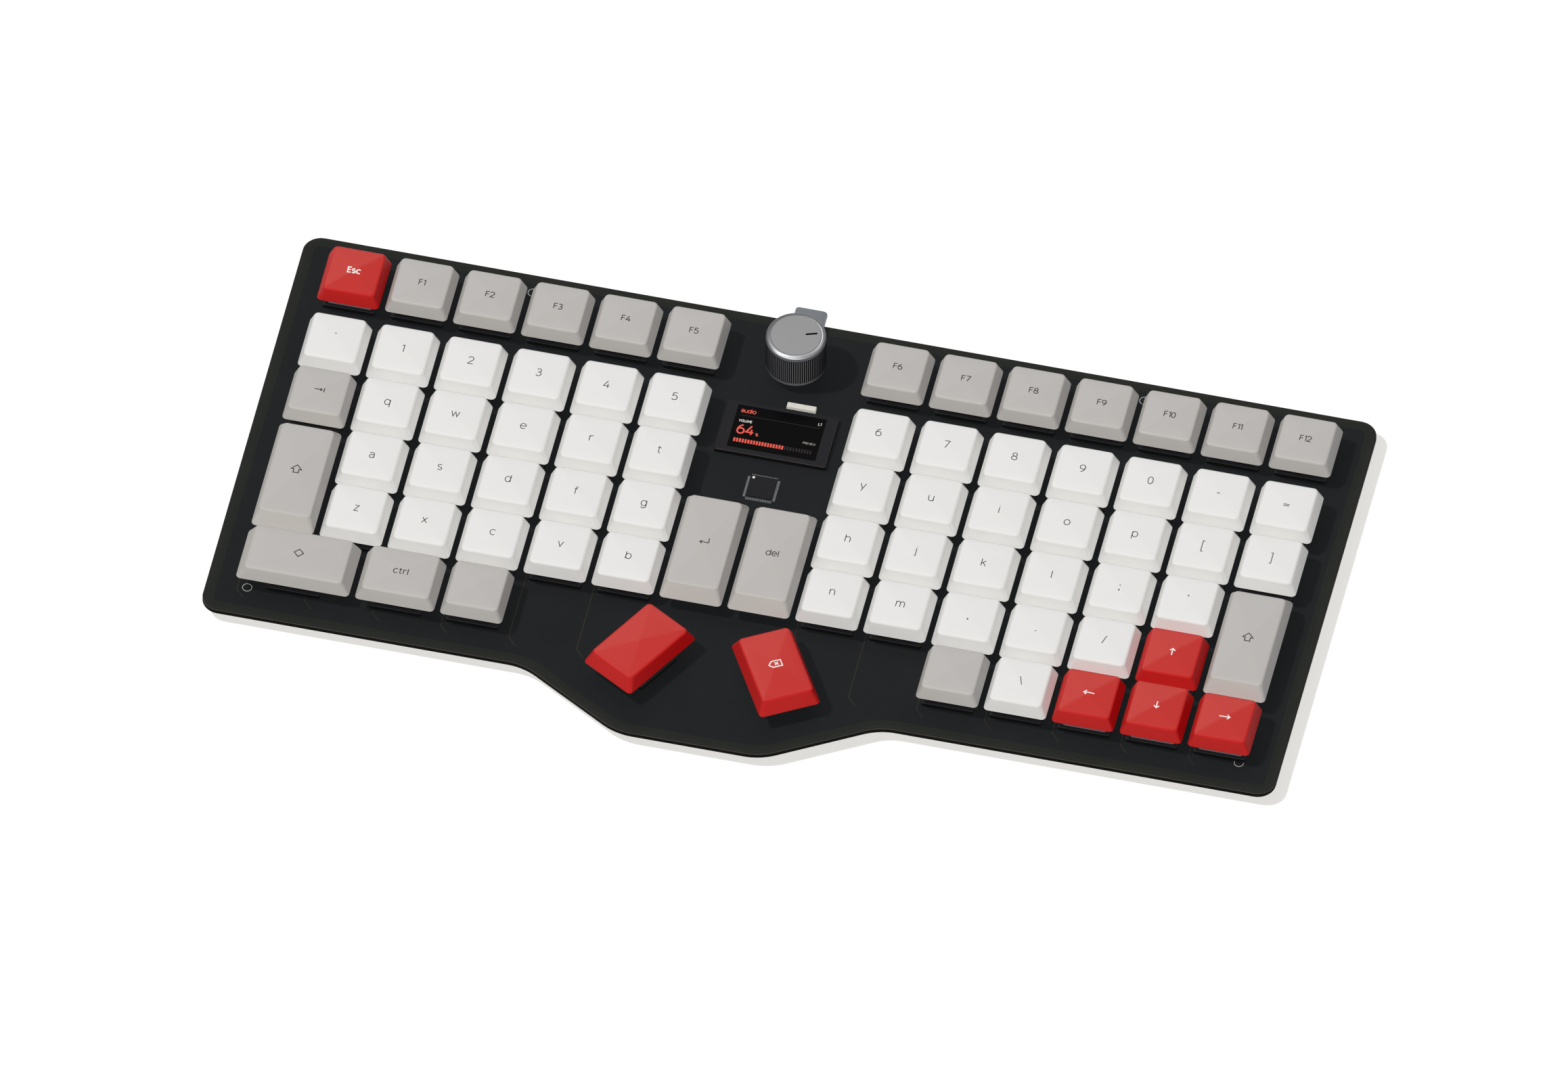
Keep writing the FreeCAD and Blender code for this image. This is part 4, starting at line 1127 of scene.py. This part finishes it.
feet = {
    "radius": 4.0,
    "height": 3.5,
    "round": 0.5,
    "frontIn": 9.6,          # middles of the front feet, from the board's front edge
    "rearIn": 6.2,
    "rearColumn": 4.5,
    "soleInset": 1.6,        # the flat sole's edge, in units of the rounding
    "roundAngles": (22, 45, 67, 90),
    "waistShare": 0.6,
    "points": 48,
}
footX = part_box("rubber_feet")[1].x / mm - feet["radius"]
rearX = feet["rearColumn"] * layout["pitch"]
footY, rearY = board["frontEdge"] + feet["frontIn"], board["backEdge"] - feet["rearIn"]
r, k = feet["radius"], feet["round"]
profile = [(r - k * feet["soleInset"], 0), (r - k, 0)]
profile += [(r - k + k * math.sin(math.radians(a)), k - k * math.cos(math.radians(a))) for a in feet["roundAngles"]]
profile += [(r, feet["height"] * feet["waistShare"]), (r, feet["height"])]
bm = bmesh.new()
for spot in ((-footX, footY), (footX, footY), (-rearX, rearY), (rearX, rearY)):
    addRound(bm, profile, spot, feet["points"])
addPiece(bm, "feet_pads", "board", ["rubber"], ["rubber_feet"])
print("feet made")


knob = {
    "foot": 8.5,
    "ring": 9.05,
    "bandTop": 18.75,
    "radius": 8.36,
    "collar": 8.26,
    "tip": 8.38,
    "valley": 8.02,
    "ribs": 88,
    "ribShares": (-0.3, -0.22, 0.22, 0.3),     # corners of a rib, as shares of the ribs' pitch
    "footBevel": 0.1,
    "hollow": 4.6,
    "hollowTop": 11.7,
    # radius, height and finish of the rounded edge, from the collar up to the face; the finishes give painted
    # reflections and painted shade lines
    "edge": ((8.26, 19.66, "knobCollar"), (8.22, 19.78, "knobOuter"), (8.12, 19.9, "knobOuter"),
             (7.98, 20.0, "knobOuter"), (7.9, 20.03, "knobShade"), (7.82, 20.06, "knobMiddle"),
             (7.6, 20.14, "knobMiddle"), (7.38, 20.2, "knobInner"), (7.12, 20.25, "knobShade"),
             (6.98, 20.18, "knobShade"), (6.92, 20.28, "knobTop"), (6.8, 20.29, "knobTop")),
    "pointerStart": 2.65,
    "pointerEnd": 5.9,
    "pointerWidth": 0.6,
    "pointerAngle": 19.0,
    "pointerCorner": 0.12,
    "pointerProud": 0.008,
    "pointerSunk": 0.3,
}
knobFinishes = ["knobTop", "knobInner", "knobMiddle", "knobOuter", "knobRib", "knobCollar", "knobGroove", "knobShade"]


# One turn round the knob. The ribs stand out where a tip radius is given.
def knobLoop(plain, tip=None):
    points = []
    for i in range(knob["ribs"]):
        for k, share in enumerate(knob["ribShares"]):
            turn = 2 * math.pi * (i + 0.5 + share) / knob["ribs"]
            radius = tip if tip and k in (1, 2) else plain
            points.append((radius * math.cos(turn), radius * math.sin(turn)))
    return points


groove, rib, collar = "knobGroove", "knobRib", "knobCollar"
# Radius, height, tip radius of the ribs and finish up to the next level, from the hollow round the foot to the face
profile = [(knob["hollow"], knob["hollowTop"], None, groove), (knob["hollow"], knob["foot"], None, groove),
           (knob["radius"] - knob["footBevel"], knob["foot"], None, rib),
           (knob["radius"], knob["foot"] + knob["footBevel"], None, rib),
           (knob["radius"], knob["ring"], None, collar), (knob["valley"], knob["ring"], knob["tip"], "ribs"),
           (knob["valley"], knob["bandTop"], knob["tip"], rib), (knob["collar"], knob["bandTop"], None, collar)]
profile += [(radius, height, None, tone) for radius, height, tone in knob["edge"]]
bm = bmesh.new()
loops = [placedLoop(knobLoop(radius, tip), z, (splitX, firstRow)) for radius, z, tip, _ in profile]
_, faces = addLoft(bm, loops)
count = len(loops[0])
for level, (_, _, _, tone) in enumerate(profile[:-1]):
    for i in range(count):
        # Rib tips take the painted glint and shade; the grooves between stay dark
        ribbed = rib if i % 4 == 1 else groove
        faces[level * count + i].material_index = knobFinishes.index(ribbed if tone == "ribs" else tone)
faces[-1].material_index = knobFinishes.index("knobTop")
faces[-2].material_index = knobFinishes.index(groove)
addPiece(bm, "knob_turned", "knob", knobFinishes, ["knob"], 28)
bm = bmesh.new()
turn = math.radians(knob["pointerAngle"])
reach = (knob["pointerStart"] + knob["pointerEnd"]) / 2
place = (splitX + reach * math.cos(turn), firstRow + reach * math.sin(turn))
knobTop = knob["edge"][-1][1]
addBlock(bm, place, (knob["pointerEnd"] - knob["pointerStart"], knob["pointerWidth"]), knobTop - knob["pointerSunk"],
         knobTop + knob["pointerProud"], knob["pointerCorner"], knob["pointerProud"] / 2, turn)
addPiece(bm, "knob_pointer", "knob", ["knobLine"])
print("knob made")


stage = {
    "floorHalf": 6.0,
    "floorBounce": (0.3, 0.3, 0.3),         # what the part sees of the floor
    "floorPaint": (0.83, 0.87, 0.934),      # what the camera sees, with the glow added
    "floorGlow": (0.22, 0.18, 0.116),
    "worldLight": 0.05,
}
# Each lamp's way, strength, softness in degrees and whether it casts shadows
lamps = {
    "key": ((0.58, 0.15, -1.0), 1.245, 3, True),
    "front fill": ((-0.79, 1.7, -0.5), 1.94, 30, False),
    "top fill": ((0.25, -0.35, -0.9), 1.56, 30, False),
}
bm = bmesh.new()
half = stage["floorHalf"]
bm.faces.new([bm.verts.new((x * half, y * half, 0)) for x, y in ((-1, -1), (1, -1), (1, 1), (-1, 1))])
floorMesh = bpy.data.meshes.new("floor")
bm.to_mesh(floorMesh)
bm.free()
floor = bpy.data.objects.new("floor", floorMesh)
scene.collection.objects.link(floor)
floorMaterial = bpy.data.materials.new("floor paint")
floorMaterial.use_nodes = True
floorMesh.materials.append(floorMaterial)
world = bpy.data.worlds.new("studio")
scene.world = world
world.use_nodes = True


# Mixes two shaders: the second is for rays that come straight from the camera, off a shine or through glass
def splitByRay(tree, outputKind, plain, seen):
    path = tree.nodes.new("ShaderNodeLightPath")
    direct = mathNode(tree, "MAXIMUM", path.outputs["Is Camera Ray"], path.outputs["Is Glossy Ray"])
    choice = tree.nodes.new("ShaderNodeMixShader")
    tree.links.new(mathNode(tree, "MAXIMUM", direct, path.outputs["Is Transmission Ray"]), choice.inputs["Fac"])
    tree.links.new(plain, choice.inputs[1])
    tree.links.new(seen, choice.inputs[2])
    tree.links.new(choice.outputs["Shader"], tree.nodes.new(outputKind).inputs["Surface"])


def colourNode(tree, kind, colour, strength=None):
    node = tree.nodes.new(kind)
    node.inputs["Color"].default_value = (*colour, 1)
    if strength is not None:
        node.inputs["Strength"].default_value = strength
    return node.outputs[0]


tree = floorMaterial.node_tree
tree.nodes.clear()
both = tree.nodes.new("ShaderNodeAddShader")
tree.links.new(colourNode(tree, "ShaderNodeBsdfDiffuse", stage["floorPaint"]), both.inputs[0])
tree.links.new(colourNode(tree, "ShaderNodeEmission", stage["floorGlow"], 1), both.inputs[1])
splitByRay(tree, "ShaderNodeOutputMaterial", colourNode(tree, "ShaderNodeBsdfDiffuse", stage["floorBounce"]),
           both.outputs["Shader"])
tree = world.node_tree
tree.nodes.clear()
splitByRay(tree, "ShaderNodeOutputWorld", colourNode(tree, "ShaderNodeBackground", (1, 1, 1), stage["worldLight"]),
           colourNode(tree, "ShaderNodeBackground", (1, 1, 1), 1))

for name, (way, strength, softness, shadow) in lamps.items():
    lamp = bpy.data.lights.new(name, "SUN")
    lamp.energy = strength
    lamp.angle = math.radians(softness)
    lamp.use_shadow = shadow
    holder = bpy.data.objects.new(name, lamp)
    holder.rotation_mode = "QUATERNION"
    holder.rotation_quaternion = Vector(way).to_track_quat("-Z", "Y")
    holder.visible_glossy = shadow
    scene.collection.objects.link(holder)

view = {
    "azimuth": 12.776,
    "elevation": 51.25,
    "width": 0.42864,         # metres across the picture
    "target": (0.00044, -0.00134, 0.0051),
    "distance": 1.5,
    "clip": (0.01, 50),
}
camera = bpy.data.cameras.new("camera")
camera.type = "ORTHO"
camera.ortho_scale = view["width"]
camera.clip_start, camera.clip_end = view["clip"]
holder = bpy.data.objects.new("camera", camera)
a, e = math.radians(view["azimuth"]), math.radians(view["elevation"])
back = Vector((math.sin(a) * math.cos(e), -math.cos(a) * math.cos(e), math.sin(e)))
holder.location = Vector(view["target"]) + back * view["distance"]
holder.rotation_mode = "QUATERNION"
holder.rotation_quaternion = (-back).to_track_quat("-Z", "Y")
scene.collection.objects.link(holder)
scene.camera = holder
scene.view_settings.view_transform = "Standard"
print("stage made")
